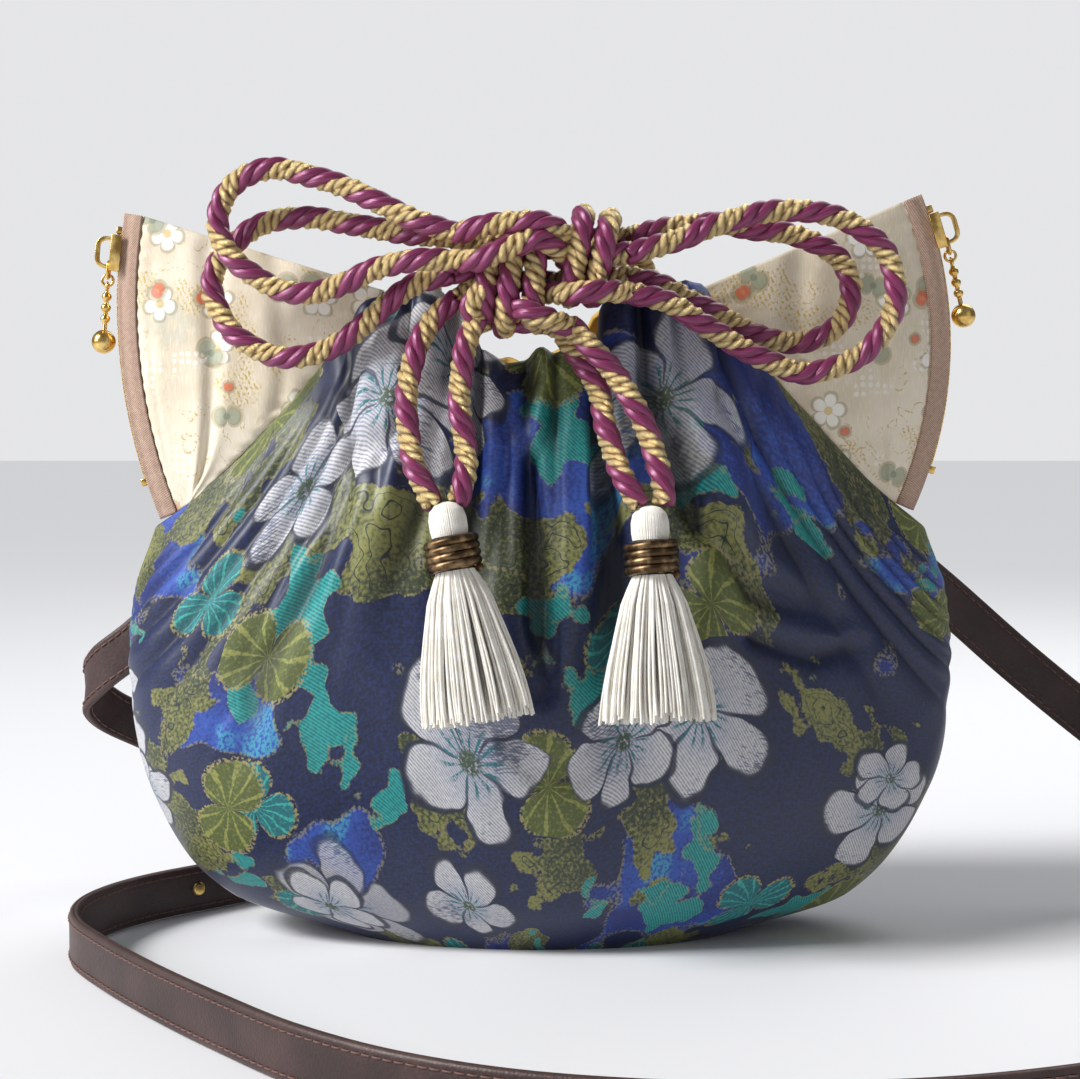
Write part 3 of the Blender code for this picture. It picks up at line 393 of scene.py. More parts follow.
def cloth_round(turn):
    """Length of cloth from the middle of the front to a turn, along the belly."""
    fine = np.linspace(-0.02, math.tau + 0.02, 2000)
    step = np.hypot(GIRTH_HALF_WIDTH * np.cos(fine), GIRTH_HALF_DEPTH * np.sin(fine)) * (fine[1] - fine[0])
    length = np.cumsum(step)
    return np.interp(turn, fine, length - np.interp(0, fine, length))


def ring_quads(count, sides, first=0):
    """Faces between rings of points, each ring closed round."""
    near = first + np.arange(count * sides).reshape(count, sides)
    far = np.roll(near, -1, 1)
    return np.stack([near[:-1], far[:-1], far[1:], near[1:]], -1).reshape(-1, 4).tolist()


def quad_corners(uv):
    """Cloth coordinates of the corners of those faces, from a grid of them."""
    return np.stack([uv[:-1, :-1], uv[:-1, 1:], uv[1:, 1:], uv[1:, :-1]], 2).reshape(-1, 2).tolist()


def skin_piece(name, verts, faces, layer, corners, finish_index, finishes):
    """A smooth piece with its cloth coordinates and the finish of each face."""
    mesh = bpy.data.meshes.new(name)
    mesh.from_pydata(verts, [], faces)
    mesh.uv_layers.new(name=layer).data.foreach_set("uv", np.array(corners, np.float32).ravel())
    mesh.polygons.foreach_set("material_index", finish_index)
    for material in finishes:
        mesh.materials.append(material)
    mesh.shade_smooth()
    return placed(name, mesh)


def grid_piece(name, rows, uv, slots, finishes, cap=None):
    """A closed skin from rings of points, with its cloth coordinates in metres. A closed ring
    repeats no point, and each row has its own finish. cap closes both ends with a centre."""
    count, columns = rows.shape[:2]
    verts = rows.reshape(-1, 3).tolist()
    faces, corners = ring_quads(count, columns), quad_corners(uv)
    finish_index = np.repeat(slots[:count - 1], columns).tolist()
    for row, middle, turned in ((0, cap[0], True), (count - 1, cap[1], False)) if cap else ():
        verts.append(middle)
        ring = row * columns
        for c in range(columns):
            ends = (c + 1, c) if turned else (c, c + 1)
            faces.append((*(ring + end % columns for end in ends), len(verts) - 1))
            corners += [uv[row, ends[0]], uv[row, ends[1]], uv[row, c]]
            finish_index.append(slots[row - 1] if row else slots[0])
    return skin_piece(name, verts, faces, "cloth", corners, finish_index, finishes)


def dress(piece, node, body):
    """Hides the solid that a piece shows in its place, and puts the piece on the body that carries it."""
    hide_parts(node)
    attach(piece, body)


def motifs(uv, pitch, shift, wobble=0.0):
    """Scatters motifs over the cloth: the distance and the angle from the nearest motif's
    centre, in motif pitches and radians, and two random values of that motif."""
    place = uv.vector("MULTIPLY_ADD", uv, (1 / pitch, 1 / pitch, 0), (shift, shift * 0.7, 0))
    centre = uv.node("ShaderNodeTexVoronoi", {"Vector": place, "Scale": 1.0, "Randomness": 0.72}, "Position",
                     voronoi_dimensions="2D", feature="F1")
    chance = centre.node("ShaderNodeSeparateColor",
                         {"Color": Tone(centre.socket.node.outputs["Color"])}, "Red")
    green = Tone(chance.socket.node.outputs["Green"])
    blue = Tone(chance.socket.node.outputs["Blue"])
    offset = place.vector("SUBTRACT", place, centre)
    radius = offset.vector("LENGTH", offset, output="Value")
    across = offset.node("ShaderNodeSeparateXYZ", {"Vector": offset}, "X")
    angle = across.math("ARCTAN2", Tone(across.socket.node.outputs["Y"]), across) + chance * math.tau
    if wobble:
        angle = angle + (uv.noise(3.0 / pitch, 2.0, flat=False) - 0.5) * wobble
    return radius, angle, green, blue


def petals(radius, angle, count, reach, notch=0.45, soft=0.02):
    """Masks of a flower of round petals: its whole, its outline, and the lines between petals."""
    lobe = abs((angle * count * 0.5).cosine())
    edge = (lobe ** 0.5 * (1 - notch) + notch) * reach
    whole = (edge - radius).step(0, soft)
    outline = abs(edge - radius).step(soft * 1.6, soft * 0.6)
    between = lobe.step(0.22, 0.08) * radius.step(reach * 0.12, reach * 0.2)
    return whole, outline, between


def twill(uv, pitch, slant=1.0):
    """Fine slanting lines of a weave, from 0 to 1, for colour and height."""
    run = uv.vector("DOT_PRODUCT", uv, (math.tau / pitch, slant * math.tau / pitch, 0), output="Value")
    return run.sine() * 0.5 + 0.5


def jacquard(uv, place):
    """Navy satin woven with cobalt, olive and teal shapes, pale blossoms and gold outlines."""
    wide = uv.shifted(5.6, 2.3, 0).noise(11.0, 3.0, Roughness=0.55)
    second = uv.shifted(3.1, 1.7, 0).noise(20.0, 3.5, Roughness=0.6)
    third = uv.shifted(7.3, 5.2, 0).noise(24.0, 3.0, Roughness=0.6)
    speck = uv.noise(900.0, 1.0)
    yarn = uv.scaled(1.0, 5.0, 1.0).noise(350.0, 1.0)
    lines = twill(uv, 1.15 * MM)
    base = speck.step(0.35, 0.75).mix((8, 17, 48), (17, 34, 86))
    # cobalt fields, patchy where the white weft comes up
    field = wide.step(0.555, 0.57)
    fade = uv.noise(34.0, 3.0)
    cobalt = (fade * 0.8 + speck * 0.35).step(0.45, 0.72).mix((18, 36, 108), (42, 80, 172))
    cobalt = (fade.step(0.60, 0.68) * speck.step(0.35, 0.6)).mix(cobalt, (60, 150, 180))
    base = field.mix(base, cobalt)
    # olive leaf fields with veins
    leaf = second.step(0.565, 0.578)
    veins = second * 22.0
    vein = abs(veins - veins.math("FLOOR", veins) - 0.5)
    olive = (speck * 0.5 + fade * 0.6).step(0.4, 0.72).mix((48, 56, 28), (134, 134, 72))
    olive = vein.step(0.08, 0.02).mix(olive, (28, 36, 34))
    base = leaf.mix(base, olive)
    sprig = third.step(0.635, 0.647)
    teal = (speck * 0.6 + lines * 0.4).step(0.3, 0.7).mix((8, 106, 112), (38, 160, 150))
    base = sprig.mix(base, teal)
    # metallic outlines round the fields
    gold = (150, 140, 88)
    glint = speck.step(0.42, 0.6)
    outlines = None
    for fabric, level in ((wide, 0.5625), (second, 0.5715), (third, 0.641)):
        line = abs(fabric - level).step(0.010, 0.004)
        outlines = line if outlines is None else outlines.most(line)
    base = (outlines * glint * 0.55).mix(base, gold)
    # blossoms, buds and leaves
    lift = outlines * 0.3
    shine = None
    for pitch, shift, share in ((0.066, 3.3, 0.55), (0.049, 8.1, 0.30)):
        radius, angle, green, blue = motifs(uv, pitch, shift, 1.3)
        size = blue * 0.12 + 0.27 + (fade - 0.5) * 0.16
        whole, outline, between = petals(radius, angle, 5, size)
        shown = green.step(share + 0.01, share)
        inner = radius / size
        petal = (lines * 0.55 + speck * 0.6).step(0.25, 0.8)
        petal = petal.mix((150, 152, 164), (216, 214, 214))
        petal = ((fade * 0.7 + yarn * 0.4).step(0.62, 0.72) * 0.75).mix(petal, (52, 62, 96))
        shade = inner.step(0.75, 0.15)
        petal = (shade * 0.35).mix(petal, (96, 112, 150))
        petal = (between * 0.85).mix(petal, (26, 34, 62))
        stamen = (angle * 14.0).sine().step(0.45, 0.8) * inner.step(0.46, 0.30) * inner.step(0.06, 0.12)
        stamen = stamen * speck.step(0.3, 0.5)
        petal = stamen.mix(petal, (28, 112, 118))
        petal = (inner.step(0.17, 0.10) * speck.step(0.3, 0.5)).mix(petal, (66, 84, 60))
        mask = whole * shown
        base = mask.mix(base, petal)
        base = (outline * shown * 0.9).mix(base, (22, 28, 52))
        shine = mask if shine is None else shine.most(mask)
    # round ribbed leaves: pitch, shift, dark and light colour, lobes
    for pitch, shift, dark, light, count in (
        (0.036, 5.7, (10, 100, 108), (60, 176, 160), 3),
        (0.041, 11.9, (82, 92, 34), (150, 152, 74), 2),
    ):
        radius, angle, green, _ = motifs(uv, pitch, shift, 0.6)
        whole, outline, between = petals(radius, angle, count, 0.40, 0.12)
        shown = green.step(0.16, 0.15) * (1 - shine)
        rib = (angle * count * 6.0).sine()
        skin = (speck * 0.7 + rib.step(0.6, 0.9) * 0.3).step(0.3, 0.8).mix(dark, light)
        skin = (between * 0.8).mix(skin, (24, 36, 42))
        base = (whole * shown).mix(base, skin)
        base = (outline * shown * glint).mix(base, gold)
        lift = lift.most(whole * shown * 0.8)
    lift = lift.most(shine).most(field * 0.5)
    base = (yarn.step(0.2, 0.8) * 0.05).mix(base, (96, 120, 176))
    # painted shade: the colour is darkened in the hollows between the folds, from the pouch's attribute
    painted_fold_shade = uv.node("ShaderNodeAttribute", {}, "Fac", attribute_name="painted_fold_shade")
    base = (painted_fold_shade * 0.72).mix(base, (6, 9, 22))
    rough = lift * 0.16 + 0.40 + speck * 0.08
    weave = twill(uv, 0.55 * MM, -0.6)
    height = lift * 0.5 + weave * 0.35 * (lift * 0.9 + 0.12) + speck * 0.14
    return base, rough, height, 0.15 * MM


def lining_paint(uv, place):
    """Plain yellow-gold lining satin with a fine even weave."""
    slub = uv.scaled(1.0, 12.0, 1.0).noise(160.0, 2.0, flat=False)
    weave = twill(uv, 0.5 * MM) * twill(uv, 0.5 * MM, -1.0)
    base = slub.step(0.3, 0.7).mix((196, 148, 44), (226, 184, 78))
    return base, slub * 0.1 + 0.42, weave + slub * 0.5, 0.08 * MM


jacquard_cloth = finish_of("jacquard_cloth", jacquard, Sheen_Weight=0.06, Sheen_Roughness=0.4,
                           Specular_IOR_Level=0.6)
lining_cloth = finish_of("lining_cloth", lining_paint, Sheen_Weight=0.2)

POUCH_COLUMNS = 440
BASE_SHARES = (0.02, 0.3, 0.6, 0.85)
HOLLOW_REACH = 9
HOLLOW_DEPTH = 2.4 * MM
turns = wall_turns(POUCH_COLUMNS) + math.pi
shares = np.r_[0, 0.012, 0.03, np.linspace(0.05, 1.0, 108)]
grid_turn, grid_share = np.meshgrid(turns, shares)
standing = folds(grid_turn, grid_share)
outer = pouch(grid_turn, grid_share, standing)
# The ruffle's free edge waves a little, and rolls over into the facing.
edge_wave = 1.6 * MM * np.sin(turns * 23) + 1.0 * MM * np.sin(turns * 41 + 2)
in_ruffle = 1 - smoothstep(0.046, 0.062, np.abs(outer[-1, :, 0]))
outer[..., 2] += smoothstep(0.8, 1, grid_share) * edge_wave * in_ruffle
outer[..., 2] = np.maximum(outer[..., 2], 0)
inside_shares = np.r_[np.linspace(1.0, 0.66, 34), np.linspace(0.6, 0.05, 14), 0.02]
inside_turn, inside_share = np.meshgrid(turns, inside_shares)
follow = smoothstep(0.6, 0.8, inside_share)
facing_out = folds(inside_turn, inside_share) * follow - CLOTH
inner = pouch(inside_turn, inside_share, facing_out)
inner[..., 2] += smoothstep(0.8, 1, inside_share) * edge_wave * in_ruffle
inner[..., 2] = np.maximum(inner[..., 2], CLOTH)
rolled = (outer[-1] + inner[0]) / 2
rolled[:, 2] += 0.7 * CLOTH
base_rings = np.array([outer[0] * (k, k, 0) for k in BASE_SHARES])
floor_rings = np.array([inner[-1] * (k, k, 0) + (0, 0, CLOTH) for k in BASE_SHARES[::-1]])
rings = np.concatenate([base_rings, outer, rolled[None], inner, floor_rings])
around = cloth_round(np.r_[turns - math.pi, math.tau])
spans = np.diff(np.concatenate([base_rings, outer])[:, ::20], axis=0)
up = np.r_[0, np.cumsum(np.linalg.norm(spans, axis=-1).mean(-1))]
up = np.r_[up, up[-1] + CLOTH, up[-1] - (1 - inside_shares) * 0.2, np.zeros(len(floor_rings))]
cloth_uv = np.stack(np.broadcast_arrays(around[None, :], up[:, None]), -1)
facing_start = len(base_rings) + len(outer)
pouch_piece = grid_piece("pouch_cloth", rings, cloth_uv,
                         [0] * facing_start + [1] * (len(rings) - facing_start),
                         [jacquard_cloth, lining_cloth], ((0, 0, 0), (0, 0, CLOTH)))
# Painted shade: the hollows between the folds are painted darker, by how far the cloth lies below its mean
# nearby.
reach = range(-HOLLOW_REACH, HOLLOW_REACH + 1)
nearby = np.mean([np.roll(standing, k, axis=1) for k in reach], axis=0)
painted_fold_shade = np.clip((nearby - standing) / HOLLOW_DEPTH, 0, 1)
shaded = np.zeros(len(pouch_piece.data.vertices))
shaded[base_rings[..., 0].size:][:painted_fold_shade.size] = painted_fold_shade.ravel()
pouch_piece.data.attributes.new("painted_fold_shade", "FLOAT", "POINT").data.foreach_set("value", shaded)
dress(pouch_piece, "body", "bag")

# The lining: a plain bag of yellow-gold satin inside the pouch, sewn in below the neck, and
# the casing strips of the same cloth, stitched down inside the neck round the drawstring.
CASING_LOW, CASING_HIGH = 146.5 * MM, 173.5 * MM
CASING_START, CASING_END = 47 * MM, 60 * MM
CASING_GAP, CASING_STAND, CASING_CLOTH = 0.5 * MM, 9 * MM, 1.0 * MM
LINING_GAP, LINING_CLOTH, LINING_TOP = 0.3 * MM, 0.9 * MM, 0.7
LINING_COLUMNS, CASING_ROWS = 160, 19
LINING_SLACK, CASING_PUCKER = 0.5 * MM, 0.35 * MM
lining_shares = np.r_[0.0, 0.03, np.linspace(0.07, LINING_TOP, 30)]
turns = math.tau * np.arange(LINING_COLUMNS) / LINING_COLUMNS
grid_turn, grid_share = np.meshgrid(turns, lining_shares)
slack = LINING_SLACK * np.sin(grid_turn * 34 + 3 * np.sin(grid_share * 9)) * smoothstep(0.1, 0.5, grid_share)
skins = []
floor_low, floor_high = CLOTH + LINING_GAP, CLOTH + LINING_GAP + LINING_CLOTH
for depth in (floor_low, floor_high):
    skin = pouch(grid_turn, grid_share, -depth - LINING_SLACK - slack)
    skin[..., 2] = np.maximum(skin[..., 2], depth)
    skins.append(skin)
centre = [np.array([skins[0][0] * (k, k, 1)]) for k in (0.03, 0.5)]
rings = np.concatenate([*centre, skins[0], skins[1][::-1],
                        *[ring + (0, 0, LINING_CLOTH) for ring in centre[::-1]]])
around = cloth_round(np.r_[turns, math.tau])
up = np.r_[0, 0.03, lining_shares * 0.2, lining_shares[::-1] * 0.2, 0.03, 0]
cloth_uv = np.stack(np.broadcast_arrays(around[None, :], up[:, None]), -1)
lining_piece = grid_piece("lining_bag", rings, cloth_uv, [0] * len(rings), [lining_cloth],
                          ((0, 0, floor_low), (0, 0, floor_high)))
dress(lining_piece, "lining", "bag")


def strip_piece(name, outer, inner, uv, material):
    """A strip or panel of cloth from its two faces, each a grid of points, closed at its edges."""
    rows, columns = outer.shape[:2]
    rings = np.concatenate([outer, inner[:, ::-1]], axis=1)
    ring_uv = np.concatenate([uv, uv[:, ::-1], uv[:, :1]], axis=1)
    piece = grid_piece(name, rings, ring_uv, [0] * rows, [material])
    shape = bmesh.new()
    shape.from_mesh(piece.data)
    shape.verts.ensure_lookup_table()
    layer = shape.loops.layers.uv["cloth"]
    width = 2 * columns
    for row, turned in ((0, True), (rows - 1, False)):
        for c in range(columns - 1):
            ring = [row * width + i for i in (c, c + 1, width - 2 - c, width - 1 - c)]
            face = shape.faces.new([shape.verts[i] for i in (ring[::-1] if turned else ring)])
            face.smooth = True
            for loop in face.loops:
                loop[layer].uv = uv[row, c]
    bmesh.ops.recalc_face_normals(shape, faces=shape.faces)
    shape.to_mesh(piece.data)
    shape.free()
    return piece


far = math.asin(CASING_END / RIM_HALF_WIDTH)
near = math.asin(CASING_START / RIM_HALF_WIDTH)
for name, start, end, columns in (
    ("casing_front_left", -far, -near, 16),
    ("casing_front_right", near, far, 16),
    ("casing_back", math.pi - far, math.pi + far, 110),
):
    grid_level, grid_turn = np.meshgrid(np.linspace(0, 1, CASING_ROWS), np.linspace(start, end, columns))
    height = CASING_LOW + (CASING_HIGH - CASING_LOW) * grid_level
    share = height / rim_height(RIM_HALF_WIDTH * np.sin(grid_turn))
    from_edge = np.minimum(grid_level, 1 - grid_level)
    stand = CASING_STAND * smoothstep(0, 0.2, from_edge)
    pucker = CASING_PUCKER * np.sin(grid_turn * 120 + grid_level * 3) * smoothstep(0, 0.3, from_edge)
    face_out = -CLOTH - CASING_GAP - stand - pucker
    cloth_uv = np.stack([grid_turn * 0.12, grid_level * 0.03], -1)
    strip = strip_piece(f"{name}_strip", pouch(grid_turn, share, face_out),
                        pouch(grid_turn, share, face_out - CASING_CLOTH), cloth_uv, lining_cloth)
    dress(strip, name, "bag")

# The wings: four panels of cream brocade, lined and turned, sewn to the pouch along their
# lower edge and to the zip tapes along their outer edge. The top edge is folded over.
WING_CLOTH = 2.0 * MM
WING_BULGE = 3.0 * MM
WING_EDGE_DEPTH = 5.5 * MM
WING_SETBACK = 7.5 * MM
# each zip is an arc: its radius, the height of its centre and its reach from the middle, then
# angles on the arc in degrees
ZIPS = {
    "left": dict(side=-1, radius=178 * MM, height=193 * MM, reach=131.3 * MM,
                 bottom=-21.6, top=9.5, slider=5.5, travel=20.8, lean=4.5),
    "right": dict(side=1, radius=125 * MM, height=181 * MM, reach=127.6 * MM,
                  bottom=-24.0, top=22.3, slider=16.7, travel=31.1, lean=13),
}
# creases of a panel: from (across, up) to (across, up), half width and depth
WING_CREASES = {
    "left": [((0.30, 0.95), (0.62, 0.12), 0.055, 2.8), ((0.55, 1.0), (0.95, 0.45), 0.05, 1.6),
             ((0.06, 0.9), (0.10, 0.2), 0.03, 0.5)],
    "right": [((0.25, 0.8), (0.5, 0.1), 0.07, 1.6), ((0.5, 1.0), (0.9, 0.5), 0.06, 2.0),
              ((0.07, 0.85), (0.12, 0.2), 0.03, 0.5)],
}


def zip_point(spec, angle, radial, depth):
    """A point of a zip: its angle on the arc, its distance past the arc and its depth."""
    radius = spec["radius"] + radial
    x = spec["reach"] - spec["radius"] + radius * np.cos(np.radians(angle))
    z = spec["height"] + radius * np.sin(np.radians(angle))
    x, y, z = np.broadcast_arrays(spec["side"] * x, depth, z)
    return np.stack([x, y, z], -1)


def brocade(uv, place):
    """Cream silk brocade: gold thread clusters, white plum blossoms, orange blossoms and dots,
    a teal flower here and there, grey-green leaves and curling gold lines."""
    grain = uv.noise(1100.0, 1.0)
    cloud = uv.noise(30.0, 2.0)
    slub = uv.scaled(8.0, 1.0, 1.0).noise(260.0, 2.0)
    base = cloud.step(0.35, 0.7).mix((216, 202, 176), (236, 224, 202))
    base = (slub.step(0.45, 0.8) * 0.35).mix(base, (250, 246, 236))
    gold = (196, 164, 88)
    glint = grain.step(0.45, 0.62)
    curl = abs(uv.noise(62.0, 1.0, Distortion=1.4) - 0.5).step(0.013, 0.006)
    scattered = cloud.step(0.5, 0.56)
    base = (curl * glint * (scattered * 0.7 + 0.15)).mix(base, gold)
    clump = uv.shifted(2.2, 4.1, 0).noise(42.0, 2.0)
    rays = twill(uv, 1.6 * MM, 0.5)
    cluster = clump.step(0.615, 0.66) * (rays.step(0.35, 0.7) * 0.8 + 0.2) * glint
    base = cluster.mix(base, (206, 176, 96))
    lift = curl * 0.4 + cluster
    # motif rows: pitch, shift, petals, size, notch, share shown, petal colour, heart colour
    for pitch, shift, count, size, notch, share, petal, heart in (
        (0.017, 2.3, 5, 0.33, 0.5, 0.42, (248, 245, 236), (222, 200, 140)),
        (0.019, 13.7, 2, 0.24, 0.1, 0.34, (158, 164, 138), (120, 132, 110)),
        (0.022, 5.9, 2, 0.13, 0.7, 0.24, (214, 92, 46), (226, 120, 70)),
        (0.034, 9.4, 6, 0.22, 0.4, 0.14, (120, 160, 166), (196, 190, 150)),
        (0.014, 17.1, 2, 0.13, 0.8, 0.12, (214, 96, 52), (214, 96, 52)),
    ):
        radius, angle, green, _ = motifs(uv, pitch, shift, 0.4)
        whole, outline, between = petals(radius, angle, count, size, notch, 0.03)
        shown = green.step(share + 0.01, share)
        skin = (radius / size).step(0.28, 0.2).mix(petal, heart)
        skin = (between * 0.35).mix(skin, (170, 150, 120))
        base = (whole * shown * 0.85).mix(base, skin)
        base = (outline * shown * 0.55).mix(base, (160, 148, 112))
        lift = lift.most(whole * shown)
    # dots in an oval group
    dots = uv.node("ShaderNodeTexVoronoi", {"Vector": uv, "Scale": 420.0, "Randomness": 0.25}, "Distance",
                   voronoi_dimensions="2D")
    base = (dots.step(0.36, 0.30) * clump.step(0.35, 0.32) * 0.45).mix(base, (252, 250, 246))
    rough = grain * 0.08 + 0.5 - cluster * 0.15
    weave = twill(uv, 0.6 * MM) * 0.4
    return base, rough, weave + lift * 0.6 + grain * 0.3, 0.14 * MM


brocade_cloth = finish_of("brocade_cloth", brocade, Sheen_Weight=0.2)
WING_ROWS, WING_COLUMNS = 90, 70
SEAM_START, SEAM_END = 0.88 * RIM_HALF_WIDTH, RUFFLE_HALF_WIDTH + 0.3 * MM
SEAM_RISE = 0.9 * MM
SEAM_PUCKER, TAPE_PUCKER = 0.45 * MM, 0.25 * MM
for side_name, spec in ZIPS.items():
    for face_name, face in (("front", -1), ("back", 1)):
        up = np.linspace(0, 1, WING_ROWS)[:, None]
        across = np.linspace(0, 1, WING_COLUMNS)[None, :]
        edge = zip_point(spec, spec["bottom"] + (spec["top"] - spec["bottom"]) * up,
                         -WING_SETBACK, -WING_EDGE_DEPTH)
        seam_x = SEAM_START + (SEAM_END - SEAM_START) * up**0.9
        seam = pouch(np.arcsin(seam_x / RIM_HALF_WIDTH), np.ones_like(seam_x), np.zeros_like(seam_x))
        seam[..., 0] *= spec["side"]
        seam[..., 2] += SEAM_RISE
        middle = edge + (seam - edge) * across[..., None]
        swell = WING_BULGE * np.sin(math.pi * across) * np.sin(math.pi * np.minimum(1, up * 0.9))
        for (a0, u0), (a1, u1), half, deep in WING_CREASES[side_name]:
            run = np.array([a1 - a0, u1 - u0])
            t = np.clip(((across - a0) * run[0] + (up - u0) * run[1]) / (run @ run), 0, 1)
            off = np.hypot(across - a0 - t * run[0], up - u0 - t * run[1]) / half
            swell = swell - deep * MM * (np.exp(-(off ** 2)) - 0.5 * np.exp(-((off / 2.2) ** 2)))
        # puckers where the panel is sewn to the pouch and to the tape
        swell = swell + SEAM_PUCKER * np.sin(up * 95) * np.exp(-(1 - across) / 0.07)
        swell = swell + TAPE_PUCKER * np.sin(up * 130 + 2) * np.exp(-across / 0.05)
        # the panel rounds over at its sewn and folded edges
        rounded = 1 - np.exp(-np.minimum(np.minimum(across, 1 - across) * 30, (1 - up) * 40 + 0.6))
        faces = []
        for push in (0.5, -0.5):
            skin = middle.copy()
            skin[..., 1] = face * -(middle[..., 1] - swell - push * WING_CLOTH * rounded)
            faces.append(skin)
        cloth_uv = np.stack(np.broadcast_arrays(
            middle[..., 0] + (0.3 if face > 0 else 0), middle[..., 2] + across * 0), -1)
        name = f"wing_{face_name}_{side_name}"
        panel = strip_piece(f"{name}_cloth", faces[0], faces[1], cloth_uv, brocade_cloth)
        dress(panel, name, "bag")

# The zips: brown twill tapes sewn behind the wings' edges, rows of small brass teeth on
# each tape, a stop at each end, and a brass slider with a bridge. The teeth of both tapes
# mesh along the middle; each tooth is a small cast block.
CHAIN_WIDTH = 5.2 * MM
CHAIN_THICKNESS = 2.2 * MM
TAPE = 0.8 * MM
TAPE_RIPPLE = 0.048 * MM
TAPE_ROWS = 120
GAP = 0.3 * MM
SLIDER_LENGTH = 11 * MM
# edges flatter than the first angle are dissolved, and those sharper than the second rounded
FLAT_ANGLE, EDGE_ANGLE = math.radians(4), math.radians(35)


def brass_paint(uv, place):
    """Gold-plated brass with faint wear and fine scratches."""
    wear = place.noise(420.0, 3.0, flat=False)
    base = wear.step(0.35, 0.7).mix((214, 172, 92), (240, 208, 136))
    return base, wear * 0.22 + 0.16, wear, 0.03 * MM


def bronze_paint(uv, place):
    """Antique bronze, dark and rubbed bright in random patches."""
    wear = place.noise(300.0, 3.0, flat=False)
    base = wear.step(0.42, 0.68).mix((84, 66, 48), (150, 124, 92))
    return base, wear * 0.2 + 0.28, wear, 0.04 * MM


def tape_paint(uv, place):
    """Pinkish-brown polyester tape in a slanting twill, with a woven edge."""
    weave = twill(uv, 0.7 * MM)
    fuzz = uv.noise(700.0, 2.0, flat=False)
    base = (weave * 0.6 + fuzz * 0.5).step(0.3, 0.9).mix((150, 116, 98), (222, 194, 174))
    return base, 0.75, weave + fuzz * 0.4, 0.1 * MM


brass = finish_of("brass", brass_paint, Metallic=1.0)
bronze = finish_of("bronze", bronze_paint, Metallic=1.0)
zip_twill = finish_of("zip_twill", tape_paint)


def tape_line(face):
    """The tape's section: from beside the teeth, over a fold, back to the wing's edge."""
    start = CHAIN_WIDTH / 2 + GAP + TAPE / 2
    radial = np.array([-1.2, -2.6, -4.8, -7.2]) * MM
    depth = np.array([start / MM, start / MM + 0.35, (start + WING_EDGE_DEPTH) / 2 / MM + 0.5,
                      WING_EDGE_DEPTH / MM]) * MM
    fine = np.linspace(0, 3, 13)
    return np.stack([np.interp(fine, range(4), radial), face * np.interp(fine, range(4), depth)], -1)


for side_name, spec in ZIPS.items():
    angles = np.linspace(spec["bottom"], spec["top"], TAPE_ROWS)
    run = np.radians(angles) * spec["radius"]
    ripple = TAPE_RIPPLE * np.sin(run / MM * 1.1)[:, None]
    for face_name, face in (("front", -1), ("back", 1)):
        line = tape_line(face)
        skins = [zip_point(spec, angles[:, None], line[:, 0], line[:, 1] + face * (push * TAPE + ripple))
                 for push in (0.5, -0.5)]
        wide = np.r_[0, np.cumsum(np.hypot(*np.diff(line, axis=0).T))]
        cloth_uv = np.stack(np.meshgrid(wide, run), -1)
        name = f"tape_{face_name}_{side_name}"
        tape = strip_piece(f"{name}_twill", skins[0], skins[1], cloth_uv, zip_twill)
        dress(tape, name, "bag")


def growth(name, inputs, *steps):
    """A geometry tree that turns a mesh into another, with a finish and more named inputs.
    Each step is a node: its label, kind, settings, and what its sockets get, which is a
    value or the label and the output of an earlier node."""
    tree = bpy.data.node_groups.new(name, "GeometryNodeTree")
    tree.interface.new_socket("Geometry", in_out="OUTPUT", socket_type="NodeSocketGeometry")
    for label, kind in {"Geometry": "Geometry", **inputs, "Finish": "Material"}.items():
        tree.interface.new_socket(label, in_out="INPUT", socket_type=f"NodeSocket{kind}")
    made = {}
    for label, kind, settings, sockets in (
        ("in", "NodeGroupInput", {}, {}), *steps,
        ("paint", "GeometryNodeSetMaterial", {},
         {"Geometry": (steps[-1][0], "Geometry"), "Material": ("in", "Finish")}),
        ("out", "NodeGroupOutput", {}, {"Geometry": ("paint", "Geometry")}),
    ):
        node = made[label] = tree.nodes.new(kind)
        for key, value in settings.items():
            setattr(node, key, value)
        for key, value in sockets.items():
            if isinstance(value, tuple):
                tree.links.new(made[value[0]].outputs[value[1]], node.inputs[key])
            else:
                node.inputs[key].default_value = value
    return tree


def kept(piece):
    """Keeps what a piece's modifiers make as its plain mesh."""
    bpy.context.view_layer.update()
    depsgraph = bpy.context.evaluated_depsgraph_get()
    result = bpy.data.meshes.new_from_object(piece.evaluated_get(depsgraph))
    piece.modifiers.clear()
    piece.data = result
    return piece


def grown(piece, tree, **values):
    """Runs a geometry tree on a piece with its inputs set, and keeps the result."""
    grow = piece.modifiers.new("grow", "NODES")
    grow.node_group = tree
    for item in tree.interface.items_tree:
        if item.in_out == "INPUT" and item.name in values:
            grow[item.identifier] = values[item.name]
    return kept(piece)


def line_piece(name, verts, edges, material):
    """A piece of bare points and lines, for a geometry tree to grow on."""
    mesh = bpy.data.meshes.new(name)
    mesh.from_pydata([tuple(v) for v in verts], edges, [])
    mesh.materials.append(material)
    return placed(name, mesh)


# one tooth, then a tree that sets it along a row of points with a direction each
TOOTH_SIZE = Vector((0.95, 3.1, 2.0)) * MM
TOOTH_ROUNDING = 0.22 * MM
TOOTH_PITCH = 1.35 * MM
TOOTH_SHIFT = 0.95 * MM
tooth_shape = bmesh.new()
bmesh.ops.create_cube(tooth_shape, size=1.0)
bmesh.ops.scale(tooth_shape, vec=TOOTH_SIZE, verts=tooth_shape.verts)
bmesh.ops.bevel(tooth_shape, geom=tooth_shape.edges[:], offset=TOOTH_ROUNDING, segments=2, affect="EDGES",
                profile=0.6)
tooth_mesh = bpy.data.meshes.new("tooth")
tooth_shape.to_mesh(tooth_mesh)
tooth_shape.free()
tooth_mesh.shade_smooth()
tooth = bpy.data.objects.new("tooth", tooth_mesh)

